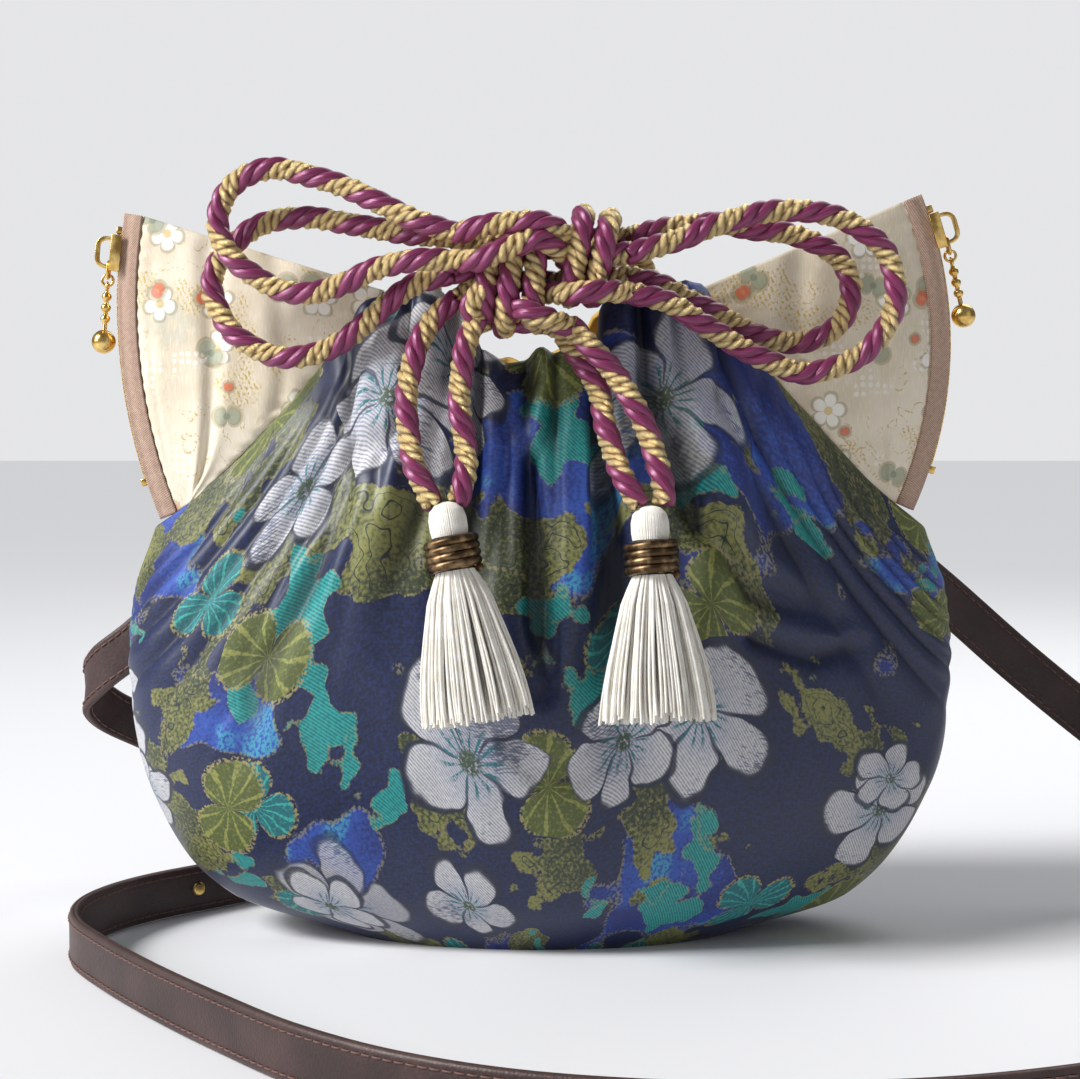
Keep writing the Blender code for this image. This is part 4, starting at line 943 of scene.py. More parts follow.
teeth_tree = growth(
    "teeth_along_tape", {"Tooth": "Object"},
    ("tooth", "GeometryNodeObjectInfo", {}, {"Object": ("in", "Tooth")}),
    ("turn", "GeometryNodeInputNamedAttribute", {"data_type": "FLOAT_VECTOR"}, {"Name": "turn"}),
    ("set", "GeometryNodeInstanceOnPoints", {},
     {"Points": ("in", "Geometry"), "Instance": ("tooth", "Geometry"), "Rotation": ("turn", "Attribute")}),
    ("real", "GeometryNodeRealizeInstances", {}, {"Geometry": ("set", "Instances")}))
for side_name, spec in ZIPS.items():
    half = math.degrees(SLIDER_LENGTH / 2 / spec["radius"])
    low = spec["slider"] - spec["travel"] - half
    high = spec["slider"] + half
    count = int(math.radians(high - low) * spec["radius"] / (TOOTH_PITCH / 2))
    places, turned = [], []
    for i in range(count):
        angle = low + (high - low) * (i + 0.5) / count
        if abs(angle - spec["slider"]) < half * 0.9:
            continue
        shift = -TOOTH_SHIFT if i % 2 else TOOTH_SHIFT
        places.append(zip_point(spec, angle, -CHAIN_THICKNESS / 2, shift))
        turned.append((0, -spec["side"] * math.radians(angle), 0))
    row = line_piece(f"teeth_{side_name}_brass", places, [], brass)
    attribute = row.data.attributes.new("turn", "FLOAT_VECTOR", "POINT")
    attribute.data.foreach_set("vector", np.array(turned, np.float32).ravel())
    grown(row, teeth_tree, Tooth=tooth, Finish=brass)
    dress(row, f"teeth_{side_name}", "bag")


def rounded_copy(node, bevel):
    """A CAD node's shape as a new brass piece with rounded edges, for a small cast part."""
    name = f"{node}_brass"
    shape = bmesh.new()
    shape.from_mesh(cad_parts[node].data)
    bmesh.ops.remove_doubles(shape, verts=shape.verts, dist=0.002 * MM)
    bmesh.ops.dissolve_limit(shape, angle_limit=FLAT_ANGLE, verts=shape.verts, edges=shape.edges)
    mesh = bpy.data.meshes.new(name)
    shape.to_mesh(mesh)
    shape.free()
    mesh.materials.clear()
    mesh.materials.append(brass)
    mesh.shade_smooth()
    piece = placed(name, mesh)
    rounding = piece.modifiers.new("rounding", "BEVEL")
    rounding.width = bevel
    rounding.segments = 2
    rounding.limit_method = "ANGLE"
    rounding.angle_limit = EDGE_ANGLE
    rounding.harden_normals = False
    return kept(piece)


for side_name in ZIPS:
    for part, body, bevel in (("stop_bottom", "bag", 0.35 * MM), ("stop_top", "bag", 0.35 * MM),
                              ("slider", f"slider_{side_name}", 0.22 * MM)):
        node = f"{part}_{side_name}"
        dress(rounded_copy(node, bevel), node, body)

# The pulls: an oval wire link round the slider's bridge, a small round ring in it, and a
# drop turned from one rod: an eye, three beads with waists between them, and a ball.
PULL_WIRE = 0.9 * MM
PULL_GAP = 0.2 * MM
LINK_HALF_WIDTH = 1.75 * MM
LINK_LENGTH = 5.2 * MM
RING_RADIUS = 1.7 * MM
EYE_RADIUS, EYE_WIRE = 1.3 * MM, 0.4 * MM
BEAD_RADIUS, BEAD_PITCH, BEADS = 1.5 * MM, 3.4 * MM, 3
STEM_RADIUS, BALL_RADIUS, DROP_LENGTH = 0.7 * MM, 3.7 * MM, 17 * MM
WIRE_SIDES, DROP_SIDES, LINK_STEPS, BALL_STEPS = 14, 28, 48, 24
HANGS = {"left": Vector((-133.29, 0, 207.52)) * MM, "right": Vector((125.57, 0, 214.97)) * MM}


def headings(points):
    """Unit directions along an open line."""
    ahead = np.gradient(points, axis=0)
    return ahead / np.linalg.norm(ahead, axis=1, keepdims=True)


def carried(side, ahead):
    """Sideways directions along a line, carried on from a first one without twist."""
    sides = []
    for direction in ahead:
        side = side - direction * (side @ direction)
        side /= np.linalg.norm(side)
        sides.append(side)
    return np.array(sides)


def tube_rings(points, radius, sides, across=None):
    """Round sections along a line, as an array of rings. across is square to a closed loop."""
    points = np.asarray(points, float)
    if across is None:
        ahead = headings(points)
        side = carried(np.cross(ahead[0], (0.2, 0.3, 1.0)), ahead)
    else:
        ahead = np.roll(points, -1, 0) - np.roll(points, 1, 0)
        ahead /= np.linalg.norm(ahead, axis=1, keepdims=True)
        side = np.cross(np.asarray(across, float), ahead)
        side /= np.linalg.norm(side, axis=1, keepdims=True)
    turn = (math.tau * np.arange(sides) / sides)[None, :, None]
    radius = np.broadcast_to(radius, (len(points), sides))[:, :, None]
    return points[:, None] + radius * (side[:, None] * np.cos(turn)
                                       + np.cross(ahead, side)[:, None] * np.sin(turn))


def ring_piece(name, rings, material, closed=False):
    """A smooth piece from rings of points: a closed loop, or a rod with both ends closed."""
    count, sides = rings.shape[:2]
    if closed:
        rings = np.concatenate([rings, rings[:1]])
        count += 1
    uv = np.stack(np.meshgrid(np.arange(sides + 1) / sides, np.arange(count) / count), -1)
    cap = None if closed else (tuple(rings[0].mean(0)), tuple(rings[-1].mean(0)))
    piece = grid_piece(name, rings, uv, [0] * count, [material], cap)
    shape = bmesh.new()
    shape.from_mesh(piece.data)
    bmesh.ops.remove_doubles(shape, verts=shape.verts, dist=0.001 * MM)
    bmesh.ops.recalc_face_normals(shape, faces=shape.faces)
    shape.to_mesh(piece.data)
    shape.free()
    return piece


def hoop(name, middle, aside, down, across, radius, wire, sides, count):
    """A round ring of wire in the plane of aside and down, with across square to it."""
    loop = [middle + (aside * math.cos(t) - down * math.sin(t)) * radius
            for t in (math.tau * k / count for k in range(count))]
    return ring_piece(f"{name}_brass", tube_rings(loop, wire, sides, across), brass, True)


for side_name, spec in ZIPS.items():
    lean = math.radians(spec["lean"])
    hang = HANGS[side_name]
    down = Vector((spec["side"] * math.sin(lean), 0, -math.cos(lean)))
    out = Vector((math.cos(lean), 0, spec["side"] * math.sin(lean)))
    side_on = Vector((0, 1, 0))
    middle = hang + down * LINK_LENGTH / 2
    half_run = LINK_LENGTH / 2 - LINK_HALF_WIDTH
    loop = []
    for k in range(LINK_STEPS):
        turn = math.tau * (k + 0.5) / LINK_STEPS
        rise = math.copysign(half_run, math.cos(turn)) + LINK_HALF_WIDTH * math.cos(turn)
        loop.append(middle + side_on * LINK_HALF_WIDTH * math.sin(turn) - down * rise)
    link = ring_piece(f"link_{side_name}_brass",
                      tube_rings(loop, PULL_WIRE / 2, WIRE_SIDES, out), brass, True)

    ring_middle = hang + down * (LINK_LENGTH + RING_RADIUS - PULL_WIRE - PULL_GAP)
    ring = hoop(f"ring_{side_name}", ring_middle, out, down, side_on,
                RING_RADIUS, PULL_WIRE / 2, WIRE_SIDES, 40)

    ring_foot = ring_middle + down * RING_RADIUS
    eye_middle = ring_foot + down * (EYE_RADIUS - PULL_WIRE / 2 - EYE_WIRE - PULL_GAP)
    eye = hoop(f"eye_{side_name}", eye_middle, side_on, down, out, EYE_RADIUS, EYE_WIRE, 12, 32)
    start = EYE_RADIUS - 0.1 * MM
    profile = [(start, STEM_RADIUS * 0.9)]
    for bead in range(BEADS):
        centre = start + EYE_WIRE + BEAD_RADIUS + bead * BEAD_PITCH
        for turn in (math.pi * k / 12 for k in range(13)):
            radius = max(STEM_RADIUS, BEAD_RADIUS * math.sin(turn))
            profile.append((centre - BEAD_RADIUS * math.cos(turn), radius))
    for k in range(BALL_STEPS):
        turn = math.pi * (k + 0.5) / BALL_STEPS
        radius = BALL_RADIUS * math.sin(turn)
        profile.append((DROP_LENGTH - BALL_RADIUS * math.cos(turn),
                        max(STEM_RADIUS, radius) if k < BALL_STEPS / 2 else radius))
    rings = np.array([[tuple(eye_middle + down * at + (out * math.cos(t) + side_on * math.sin(t)) * radius)
                       for t in math.tau * np.arange(DROP_SIDES) / DROP_SIDES] for at, radius in profile])
    drop = ring_piece(f"drop_{side_name}_brass", rings, brass)
    for piece, node in ((link, "link"), (ring, "ring"), (drop, "drop"), (eye, "drop")):
        dress(piece, f"{node}_{side_name}", f"{node}_{side_name}")

# The drawstring: twisted cord, 7 mm thick, of four plies laid in an S twist: two smooth
# burgundy satin plies side by side and two gold ones, each of two metal yarns. It is laid
# double, runs round the neck inside the casing and is tied at the front in a bow.
CORD_DIAMETER = 7 * MM
CORD_PITCH = 18.5 * MM
CASING_MIDDLE = CLOTH + CASING_GAP + CASING_STAND / 2
LOWER_STRAND = 156 * MM
STRAND_LEVELS = {"neck_strand_upper": LOWER_STRAND + CORD_DIAMETER + 2 * GAP,
                 "neck_strand_lower": LOWER_STRAND}
BOW_CORDS = {
    "bow_loop_left_upper": [
        (-24.1, -54.8, 212.5), (-39, -54, 218), (-53, -50, 225), (-64, -47, 229), (-76, -44, 232),
        (-86, -42, 230), (-92, -41, 224), (-94, -41, 215), (-90, -42, 207), (-83, -43, 201),
        (-75, -44, 197), (-66, -46, 196), (-56, -49, 199), (-46, -53, 203), (-36, -56, 205),
        (-24.1, -56, 205)],
    "bow_loop_left_lower": [
        (-25, -46.5, 212), (-36, -45, 213), (-48, -41, 215), (-58, -38, 217), (-68, -35, 218.5),
        (-78, -33, 218), (-87, -32, 214), (-95, -31.5, 206), (-97, -32, 197), (-93, -34, 188),
        (-87, -36, 182), (-78, -38, 178), (-68, -40, 178), (-58, -42, 182), (-50, -44, 188),
        (-43, -46, 194), (-35, -47.5, 199), (-25, -48, 202)],
    "bow_loop_right_outer": [
        (25, -55, 207), (33, -54, 209), (42, -52, 212), (52, -50, 216), (63, -47, 219), (75, -45, 220),
        (87, -43, 218), (96, -42, 213), (102, -41, 206), (104, -41, 197), (102, -41, 188),
        (96, -42, 180), (87, -43, 175), (77, -44, 173), (67, -46, 176), (57, -48, 181), (47, -51, 187),
        (37, -54, 193), (25, -56, 196)],
    "bow_loop_right_inner": [
        (25, -46.5, 212), (33, -44, 214), (43, -41.5, 216), (53, -39, 216.5), (63, -37, 215),
        (73, -34.5, 214), (82, -33, 211), (89, -32, 206), (92, -32, 199), (90, -33, 190), (84, -34, 184),
        (74, -35.5, 182), (64, -37.5, 184), (54, -40, 189), (44, -42.5, 194), (35, -45, 198.5),
        (25, -47, 201)],
    "tail_left_front": [
        (-18.4, -53.7, 188.7), (-21.6, -57, 179), (-23, -58.5, 165), (-21.5, -60, 153),
        (-21, -62.5, 145), (-23.4, -64.2, 136.4)],
    "tail_left_rear": [
        (-24, -48.4, 194), (-30, -49, 189.5), (-35, -51, 181), (-38, -54, 170), (-38, -57, 158),
        (-36, -60.5, 147), (-32.5, -63, 139.5), (-30.6, -64.2, 135.4)],
    "tail_right_front": [
        (9, -55.5, 186.2), (13, -57, 182), (21, -58, 173), (28, -59, 162), (33, -61, 149),
        (35, -63.5, 140), (35, -64.4, 136)],
    "tail_right_rear": [
        (6, -47, 186.1), (8, -47.5, 182), (13, -49, 175), (17, -51.5, 167), (19, -55, 157),
        (22, -60, 147), (26, -63.5, 139), (28, -64.4, 135.5)],
}
NECK_CORDS = {
    "neck_strand_upper": {
        "left": [
            (-15, -37.4, 210), (-22, -33, 208), (-29, -27, 203), (-34.5, -22, 195), (-38, -23, 180),
            (-42, -27.5, 167)],
        "right": [
            (15, -37.4, 212), (22, -33, 211), (29, -27, 207), (35, -22, 197), (38, -23, 181),
            (42.5, -28, 166)],
    },
    "neck_strand_lower": {
        "left": [
            (-14, -37.4, 199), (-18, -33, 196), (-21, -27.5, 193), (-23, -23, 185), (-25.5, -23, 173),
            (-33, -28, 160)],
        "right": [
            (17, -37.4, 204), (20.5, -33.5, 204), (23.5, -28, 202), (26, -22.5, 197), (28.5, -22, 187),
            (30.5, -23.5, 173), (35, -28, 160.5)],
    },
}


def run_along(points):
    """How far along a line each of its points lies."""
    return np.r_[0, np.cumsum(np.linalg.norm(np.diff(points, axis=0), axis=1))]


def smooth_route(route, spacing):
    """Evenly spaced points, in metres, on a smooth curve through places in millimetres."""
    points = np.array(route, float) * MM
    padded = np.concatenate([[2 * points[0] - points[1]], points, [2 * points[-1] - points[-2]]])
    t = np.arange(12)[:, None] / 12
    fine = [0.5 * (2 * b + (c - a) * t + (2 * a - 5 * b + 4 * c - d) * t**2 + (3 * b - a - 3 * c + d) * t**3)
            for a, b, c, d in zip(padded, padded[1:], padded[2:], padded[3:])]
    fine = np.concatenate([*fine, points[-1:]])
    run = run_along(fine)
    even = np.linspace(0, run[-1], max(4, int(run[-1] / spacing) + 1))
    return np.stack([np.interp(even, run, fine[:, k]) for k in range(3)], -1)


# how far the middles of the satin and of the gold plies lie from the cord's
PLY_OFFSETS = 1.92 * MM, 1.8624 * MM
PLY_RADIUS = 1.58 * MM
PLY_SIDES = 10
YARN_PITCH = 5.4 * MM
FINE_STEP, NECK_STEP = 0.65 * MM, 1.6 * MM
# one step of the cord's second UV value, along the cord
UV_RUN = 8 * MM


def satin_paint(uv, place):
    """Burgundy rayon satin: fine threads along the ply, bright where they turn to the light."""
    threads = uv.scaled(1.0, 0.05, 1.0).noise(34.0, 2.0, flat=False)
    base = threads.step(0.3, 0.7).mix((92, 18, 54), (138, 42, 92))
    return base, threads * 0.12 + 0.27, threads, 0.16 * MM


def lurex_paint(uv, place):
    """Gold metallic yarn of two twisted strands that glitters, with painted glints, painted shade in the
    gaps between the strands and painted highlight on their tops.
    """
    turn = uv.vector("DOT_PRODUCT", uv, (math.tau, math.tau * UV_RUN / YARN_PITCH, 0), output="Value")
    strand = abs(turn.cosine())
    wound = twill(uv, 0.09, 6.0)
    glint = uv.scaled(14.0, 60.0, 1.0).noise(3.0, 2.0, flat=False)
    shine_and_painted_glint = glint.step(0.50, 0.62)
    # painted shade darkens the gaps between the strands, and painted highlight lightens their tops
    base = (strand * 0.8 + wound * 0.2).step(0.05, 0.75).mix((116, 74, 28), (248, 218, 152))
    # painted glints: near-white spots in the colour, where the yarn is also made smoother
    base = (shine_and_painted_glint * 0.8).mix(base, (255, 248, 220))
    return base, 0.38 - shine_and_painted_glint * 0.22, strand * 1.4 + glint * 0.8, 0.42 * MM


satin_ply = finish_of("satin_ply", satin_paint, Specular_IOR_Level=1.0,
                      Specular_Tint=(1.0, 0.62, 0.86, 1), Sheen_Weight=0.12)
lurex_ply = finish_of("lurex_ply", lurex_paint, Metallic=0.7)


def rope_rings(points, start_turn):
    """The four plies of a cord along a line: rings of points for each, satin first."""
    ahead = headings(points)
    side = carried(np.array([0.31, 0.17, 0.93]), ahead)
    other = np.cross(ahead, side)
    run = run_along(points)
    turn = math.tau * np.arange(PLY_SIDES) / PLY_SIDES
    strands = PLY_RADIUS * (0.90 + 0.17 * np.cos(2 * turn + 2 * math.tau * run[:, None] / YARN_PITCH))
    plies = []
    for k in range(4):
        lay = (start_turn - math.tau * run / CORD_PITCH + k * math.tau / 4)[:, None]
        middle = points + PLY_OFFSETS[k // 2] * (side * np.cos(lay) + other * np.sin(lay))
        plies.append(tube_rings(middle, strands if k // 2 else PLY_RADIUS * 1.04, PLY_SIDES))
    return plies, run


def rope_piece(name, lines, start_turn, spacing_turn=1.3):
    """One piece of four-ply cord along each of some lines of points."""
    verts, faces, corners, finish_index = [], [], [], []
    for number, points in enumerate(lines):
        plies, run = rope_rings(points, start_turn + number * spacing_turn)
        uv = np.stack(np.meshgrid(np.arange(PLY_SIDES + 1) / PLY_SIDES, run / UV_RUN), -1)
        count = len(points)
        for k, rings in enumerate(plies):
            first = len(verts)
            verts += rings.reshape(-1, 3).tolist()
            faces += ring_quads(count, PLY_SIDES, first)
            corners += quad_corners(uv)
            foot = list(range(first, first + PLY_SIDES))
            faces += [foot[::-1], [end + (count - 1) * PLY_SIDES for end in foot]]
            corners += uv[[0, -1], :-1].reshape(-1, 2).tolist()
            finish_index += [k // 2] * ((count - 1) * PLY_SIDES + 2)
    return skin_piece(name, verts, faces, "cord", corners, finish_index, [satin_ply, lurex_ply])


# The knot: two strands cross its front, low on the left to high on the right; three turns
# hold them on the left and two stand higher on the right; the ends of the loops go under.
KNOT_STRANDS = [
    [(-25, -46.5, 212), (-12, -46, 211), (0, -46, 209), (12, -45.5, 211), (25, -46.5, 212)],
    [(-25, -48, 202), (-12, -47.5, 200.5), (0, -47.5, 199), (12, -47.5, 200), (25, -47, 201)],
    [(-24.1, -54.8, 212.5), (-18, -57.5, 214), (-9, -60, 215.5), (0, -60.5, 215.5), (6, -58, 213),
     (10, -53, 210)],
    [(-24.1, -56, 205), (-17, -59.5, 205), (-9, -61.5, 208), (-1, -61, 211), (5, -57.5, 208), (9, -52, 205)],
    [(5, -51, 206), (12, -52, 206), (18, -54, 206.5), (25, -55, 207)],
    [(2, -52, 196), (7, -58.5, 195.5), (13, -60.5, 196), (19, -59, 196), (25, -56, 196)],
    [(-6, -58, 192), (-2, -61, 189.5), (3, -60, 188), (9, -55.5, 186.2)],
    [(-9, -50, 188), (-2, -47, 187.5), (6, -47, 186.1)],
    [(-12, -52, 199), (-17, -56, 196), (-19.5, -56, 192), (-18.4, -53.7, 188.7)],
    [(-10, -47, 199), (-18, -46.5, 198), (-24, -48.4, 194)],
]
# each turn: place of its middle, half depth, half height, how far it leans to the right
KNOT_TURNS = [
    ((-15.5, -49.5, 197.5), 6.0, 10.0, -1.0),
    ((-8.8, -50.0, 198.0), 7.5, 12.2, -1.5),
    ((-1.6, -50.0, 199.0), 7.5, 11.2, -0.5),
    ((10.6, -50.0, 206.5), 8.0, 11.8, -2.0),
    ((17.6, -50.0, 206.0), 7.8, 11.2, -2.6),
]
knot_lines = [smooth_route(strand, FINE_STEP) for strand in KNOT_STRANDS]
for (x, y, z), deep, tall, lean in KNOT_TURNS:
    circle = [(x + lean * math.cos(t), y + deep * math.sin(t), z - tall * math.cos(t))
              for t in np.linspace(-1.3 * math.pi, 0.75 * math.pi, 26)]
    knot_lines.append(smooth_route(circle, FINE_STEP))
knot = rope_piece("bow_knot_turns", knot_lines, 0.4)
dress(knot, "bow_knot", "bag")
for number, (name, route) in enumerate(BOW_CORDS.items()):
    points = smooth_route(route, FINE_STEP)
    piece = rope_piece(f"{name}_cord", [points], 0.9 * number)
    dress(piece, name, "bag")


def in_casing(x, behind, level):
    """A place of a neck strand in the casing, in millimetres, at x in front or behind."""
    turn = math.asin(x * MM / RIM_HALF_WIDTH)
    turn = math.pi - turn if behind else turn
    return tuple(pouch(turn, level / rim_height(x * MM), -CASING_MIDDLE) / MM)


for number, (name, level) in enumerate(STRAND_LEVELS.items()):
    halves = []
    for side_name, side in (("left", -1), ("right", 1)):
        halves.append([
            *NECK_CORDS[name][side_name],
            *(in_casing(side * x, False, level) for x in (47, 50, 53, 57, 60)),
            *((side * x, y, level / MM) for x, y in ((69, -18), (72, -9), (72.5, 0), (72, 9), (69, 18))),
            *(in_casing(side * x, True, level) for x in (60, 53, 45, 36, 27, 18, 9))])
    points = smooth_route(halves[0] + [in_casing(0, True, level)] + halves[1][::-1], NECK_STEP)
    piece = rope_piece(f"{name}_cord", [points], 0.5 * number)
    dress(piece, name, "bag")

# The tassels: off-white cotton yarns folded over the cord's ends, held by a collar of four
# turns of antique-bronze wire. Below it the yarns spread and end at slightly uneven lengths.
TASSELS = {
    "left": dict(head=Vector((-27, -64.5, 136)) * MM, foot=Vector((-17, -72, 74)) * MM, seed=4),
    "right": dict(head=Vector((31, -64.5, 135)) * MM, foot=Vector((33.5, -72, 74)) * MM, seed=9),
}
HEAD_RADIUS, HEAD_LENGTH = 5.6 * MM, 9 * MM
COLLAR_RADIUS, COLLAR_LENGTH, COLLAR_TURNS = 8.1 * MM, 12 * MM, 4
SKIRT_HALF_WIDTH, SKIRT_HALF_DEPTH = 16.5 * MM, 9.5 * MM
YARN_RADIUS = 0.42 * MM
YARN_SIDES = 5
HEAD_YARNS, SKIRT_YARNS = 64, 230
# the line of a head yarn: millimetres from the top, and the share of the head's radius
HEAD_LINE = ((0.2, 0.05), (0.1, 0.3), (0.7, 0.62), (2.2, 0.88), (4.6, 0.98), (7.5, 0.98), (9.5, 0.93))
# how the skirt spreads from the collar's bore: shares of its length, and of its full width
SPREAD = (0, 0.04, 0.16, 0.36, 0.6, 0.82, 1.0), (0, 0.15, 0.36, 0.56, 0.78, 0.93, 1.0)
TUCK = 1.5 * MM
COIL_STEPS = 40


def cotton_paint(uv, place):
    """Off-white mercerised cotton yarn, twisted, with a faint warm shade."""
    fibre = place.noise(1500.0, 2.0, flat=False)
    shade = place.noise(260.0, 1.0, flat=False)
    base = (shade * 0.6 + fibre * 0.4).step(0.3, 0.7).mix((232, 226, 214), (250, 247, 240))
    return base, 0.75, fibre, 0.05 * MM


cotton = finish_of("cotton", cotton_paint, Sheen_Weight=0.3)
yarn_tree = growth(
    "yarns_along_lines", {"Radius": "Float", "Sides": "Int"},
    ("line", "GeometryNodeMeshToCurve", {}, {"Mesh": ("in", "Geometry")}),
    ("section", "GeometryNodeCurvePrimitiveCircle", {},
     {"Resolution": ("in", "Sides"), "Radius": ("in", "Radius")}),
    ("tube", "GeometryNodeCurveToMesh", {},
     {"Curve": ("line", "Curve"), "Profile Curve": ("section", "Curve"), "Fill Caps": True}),
    ("real", "GeometryNodeRealizeInstances", {}, {"Geometry": ("tube", "Mesh")}),
    ("soft", "GeometryNodeSetShadeSmooth", {}, {"Geometry": ("real", "Geometry")}))


def yarn_piece(name, lines, radius, material):
    """Tubes along many open lines, grown by the yarn tree."""
    verts, edges = [], []
    for line in lines:
        first = len(verts)
        verts += line
        edges += [(first + i, first + i + 1) for i in range(len(line) - 1)]
    piece = line_piece(name, verts, edges, material)
    return grown(piece, yarn_tree, Radius=radius, Sides=YARN_SIDES, Finish=material)


for side_name, spec in TASSELS.items():
    chance = random.Random(spec["seed"])
    axis = spec["foot"] - spec["head"]
    length = axis.length
    down = axis.normalized()
    wide = (Vector((1, 0, 0)) - down * down.x).normalized()
    deep = down.cross(wide)
    collar_end = HEAD_LENGTH + COLLAR_LENGTH
    bore = COLLAR_RADIUS - 2.3 * MM
    lines = []
    # the folded head: yarns from the middle of the top, over the dome and into the collar
    for i in range(HEAD_YARNS):
        turn = math.tau * i / HEAD_YARNS + chance.uniform(-0.03, 0.03)
        aside = wide * math.cos(turn) + deep * math.sin(turn)
        lines.append([spec["head"] + down * at * MM + aside * (HEAD_RADIUS * share - YARN_RADIUS)
                      for at, share in HEAD_LINE])
    # the skirt, from the collar to its cut ends
    for i in range(SKIRT_YARNS):
        turn = math.tau * chance.random()
        far_out = math.sqrt(chance.uniform(0.02 if i % 3 else 0.75, 1.0))
        reach = length - chance.uniform(0, 2.6) * MM * (1.4 if far_out > 0.8 else 1.0)
        stray = chance.uniform(0, 1)
        sway = chance.uniform(-1, 1) * 1.3 * MM
        line = []
        for step in range(11):
            at = collar_end - TUCK + (reach - collar_end + TUCK) * step / 10
            share = (at - collar_end) / (length - collar_end)
            grow = np.interp(share, *SPREAD)
            half_wide = bore + (SKIRT_HALF_WIDTH - bore) * grow
            half_deep = bore + (SKIRT_HALF_DEPTH - bore) * grow
            bulge = sway * math.sin(share * 3.0) * max(0, share)
            bend = 1.0 + (0.10 * max(0, share) ** 2 if stray > 0.93 else 0)
            line.append(spec["head"] + down * at
                        + wide * (math.cos(turn) * (half_wide - YARN_RADIUS) * far_out * bend + bulge)
                        + deep * math.sin(turn) * (half_deep - YARN_RADIUS) * far_out)
        lines.append(line)
    threads = yarn_piece(f"tassel_threads_{side_name}_yarn", lines, YARN_RADIUS, cotton)
    dress(threads, f"tassel_threads_{side_name}", "bag")

    wire = COLLAR_LENGTH / COLLAR_TURNS / 2 - 0.12 * MM
    coil = []
    for step in range(COLLAR_TURNS * COIL_STEPS + 1):
        turn = math.tau * step / COIL_STEPS
        share = step / (COLLAR_TURNS * COIL_STEPS)
        at = HEAD_LENGTH + GAP + wire + (COLLAR_LENGTH - 2 * GAP - 2 * wire) * share
        aside = wide * math.cos(turn) + deep * math.sin(turn)
        coil.append(spec["head"] + down * at + aside * (COLLAR_RADIUS - wire))
    collar = ring_piece(f"tassel_collar_{side_name}_coil", tube_rings(coil, wire, WIRE_SIDES), bronze)
    dress(collar, f"tassel_collar_{side_name}", "bag")

# The shoulder strap: two layers of dark brown leather, 15 mm wide, glued back to back and
# sewn along both edges. It stands on its edge round the bag, and a small rivet goes through
# it at the left.
STRAP_WIDTH = 15 * MM
STRAP_THICKNESS = 3 * MM
STITCH_INSET = 2.1 * MM
STITCH_PITCH = 3.3 * MM
STITCH_LENGTH = 2.5 * MM
STITCH_RADIUS = 0.28 * MM
# the line of a stitch: shares of its length, and how high it stands on the leather in millimetres
STITCH_LINE = ((-0.5, -0.25), (-0.38, 0.12), (0, 0.22), (0.38, 0.12), (0.5, -0.25))
STRAP_ROUTE = [
    (-70, 41.6, 139), (-84, 40.6, 129), (-100, 41, 115), (-118, 45, 99), (-135, 52, 84), (-148, 57, 74),
    (-153.5, 65, 66), (-149, 73, 58), (-137, 78, 51), (-120, 82, 43), (-100, 87, 34), (-82, 90, 26),
    (-66, 87, 18.5), (-58, 77, 12.5), (-62, 65, 9), (-73, 53, 8), (-88, 39, 7.9), (-105, 22, 7.9),
    (-122, 4, 7.9), (-133, -14, 7.9), (-138, -34, 7.9), (-135, -56, 7.9), (-123, -80, 7.9),
    (-103, -112, 7.9), (-81, -143, 7.9), (-58, -172, 7.9), (-30, -196, 7.9), (5, -212, 7.9),
    (50, -218, 7.9), (100, -212, 7.9), (150, -190, 7.9), (192, -155, 7.9), (221, -108, 8.1),
    (233, -60, 11), (230, -15, 20), (213, 20, 35), (188, 40, 54), (160, 49, 77), (135, 50, 99),
    (112, 45, 118), (92, 41, 134), (74, 39.5, 147)]


def leather_paint(uv, place):
    """Dark brown leather with a fine pebbled grain, paler along its cut edges."""
    pebble = place.node("ShaderNodeTexVoronoi", {"Vector": place, "Scale": 1300.0, "Randomness": 0.9},
                        "Distance")
    pores = place.noise(800.0, 3.0, flat=False)
    wear = place.noise(45.0, 3.0, flat=False)
    edge = uv.node("ShaderNodeSeparateXYZ", {"Vector": uv}, "X")
    rubbed = abs(edge - 0.5).step(0.40, 0.5)
    base = (wear * 0.7 + pores * 0.3).step(0.35, 0.7).mix((50, 34, 33), (72, 52, 49))
    base = (rubbed * wear * 0.6).mix(base, (104, 80, 72))
    return base, pores * 0.2 + 0.38, pebble * 0.8 + pores * 0.4, 0.10 * MM


def stitch_paint(uv, place):
    """Brown waxed thread."""
    fibre = place.noise(2200.0, 1.0, flat=False)
    return fibre.mix((86, 58, 52), (128, 92, 82)), 0.6, fibre, 0.05 * MM


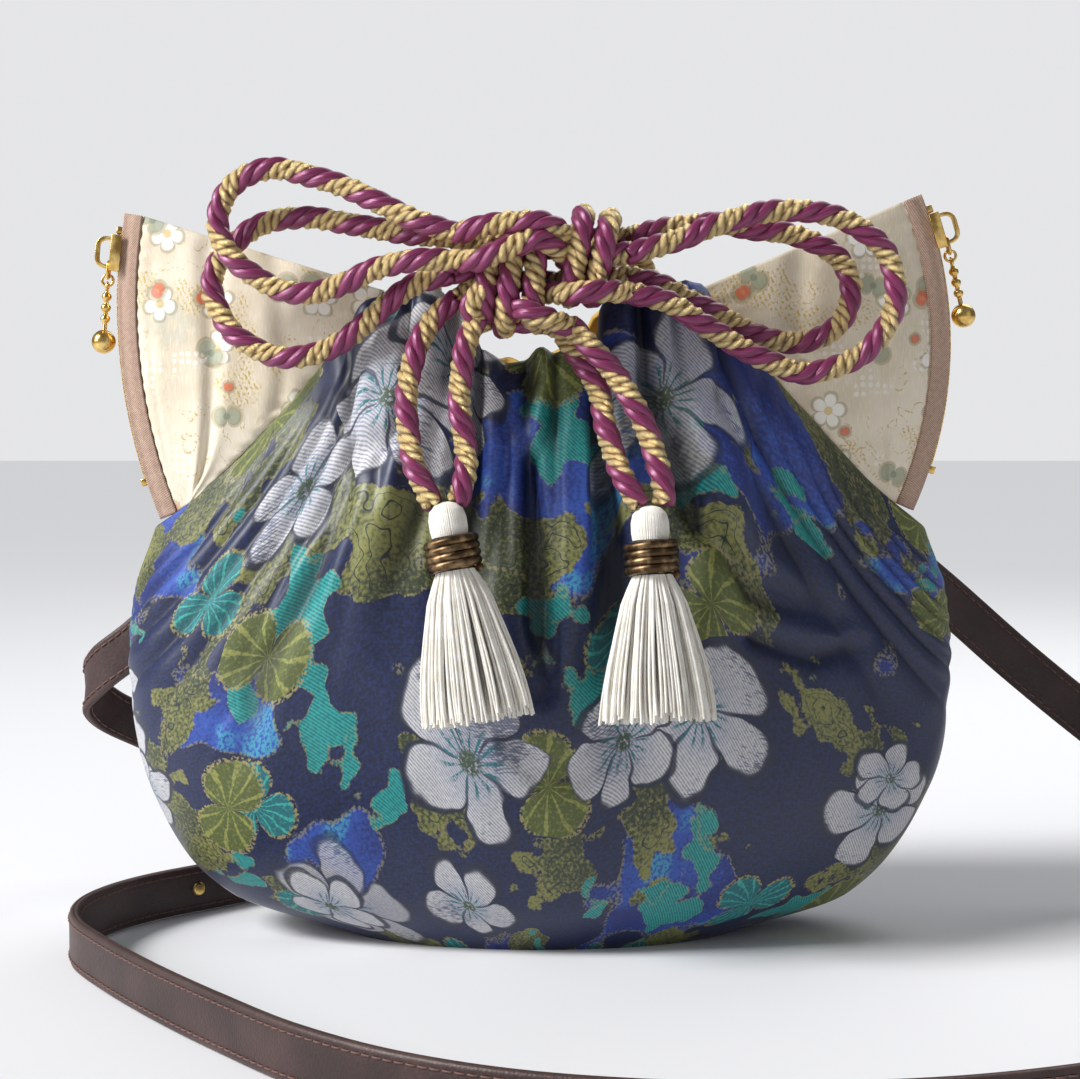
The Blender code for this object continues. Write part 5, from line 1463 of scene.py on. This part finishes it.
leather = finish_of("strap_leather", leather_paint, Specular_IOR_Level=0.45)
waxed_thread = finish_of("waxed_thread", stitch_paint)
points = smooth_route(STRAP_ROUTE, 2.2 * MM)
ahead = headings(points)
wide = np.array([0, 0, 1.0]) - ahead * ahead[:, 2:3]
wide /= np.linalg.norm(wide, axis=1, keepdims=True)
thick = np.cross(ahead, wide)
# a quarter of the section, from the middle of one face over the edge: (thick, wide)
half_t, half_w = STRAP_THICKNESS / 2, STRAP_WIDTH / 2
quarter = np.array([
    (half_t * 1.02, 0), (half_t * 1.02, 0.5 * half_w), (half_t, half_w - 3.0 * MM),
    (half_t - 0.12 * MM, half_w - STITCH_INSET), (half_t, half_w - 1.3 * MM),
    (half_t - 0.18 * MM, half_w - 0.45 * MM), (half_t - 0.7 * MM, half_w - 0.05 * MM),
    (0.18 * MM, half_w), (0.0, half_w - 0.3 * MM)])
section = np.concatenate([quarter, quarter[-2::-1] * (-1, 1), quarter[1:] * (-1, -1),
                          quarter[-2:0:-1] * (1, -1)])
rings = points[:, None] + thick[:, None] * section[None, :, :1] + wide[:, None] * section[None, :, 1:]
run = run_along(points)
strap_uv = np.stack(np.meshgrid(np.r_[section[:, 1], section[0, 1]] / STRAP_WIDTH + 0.5, run), -1)
strap_piece = grid_piece("shoulder_strap_leather", rings, strap_uv, [0] * len(rings), [leather],
                         (tuple(points[0]), tuple(points[-1])))
dress(strap_piece, "shoulder_strap", "bag")

stitches = []
for step in range(int(run[-1] / STITCH_PITCH)):
    for row in (-1, 1):
        for face in (-1, 1):
            line = []
            for share, height in STITCH_LINE:
                at = np.clip((step + 0.5) * STITCH_PITCH + share * STITCH_LENGTH, 0, run[-1])
                spot, t, w = (np.array([np.interp(at, run, data[:, k]) for k in range(3)])
                              for data in (points, thick, wide))
                line.append(spot + t * face * (half_t + height * MM) + w * row * (half_w - STITCH_INSET))
            stitches.append(line)
sewing = yarn_piece("strap_stitches", stitches, STITCH_RADIUS, waxed_thread)
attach(sewing, "bag")

rivet = rounded_copy("strap_rivet", 0.2 * MM)
dress(rivet, "strap_rivet", "bag")
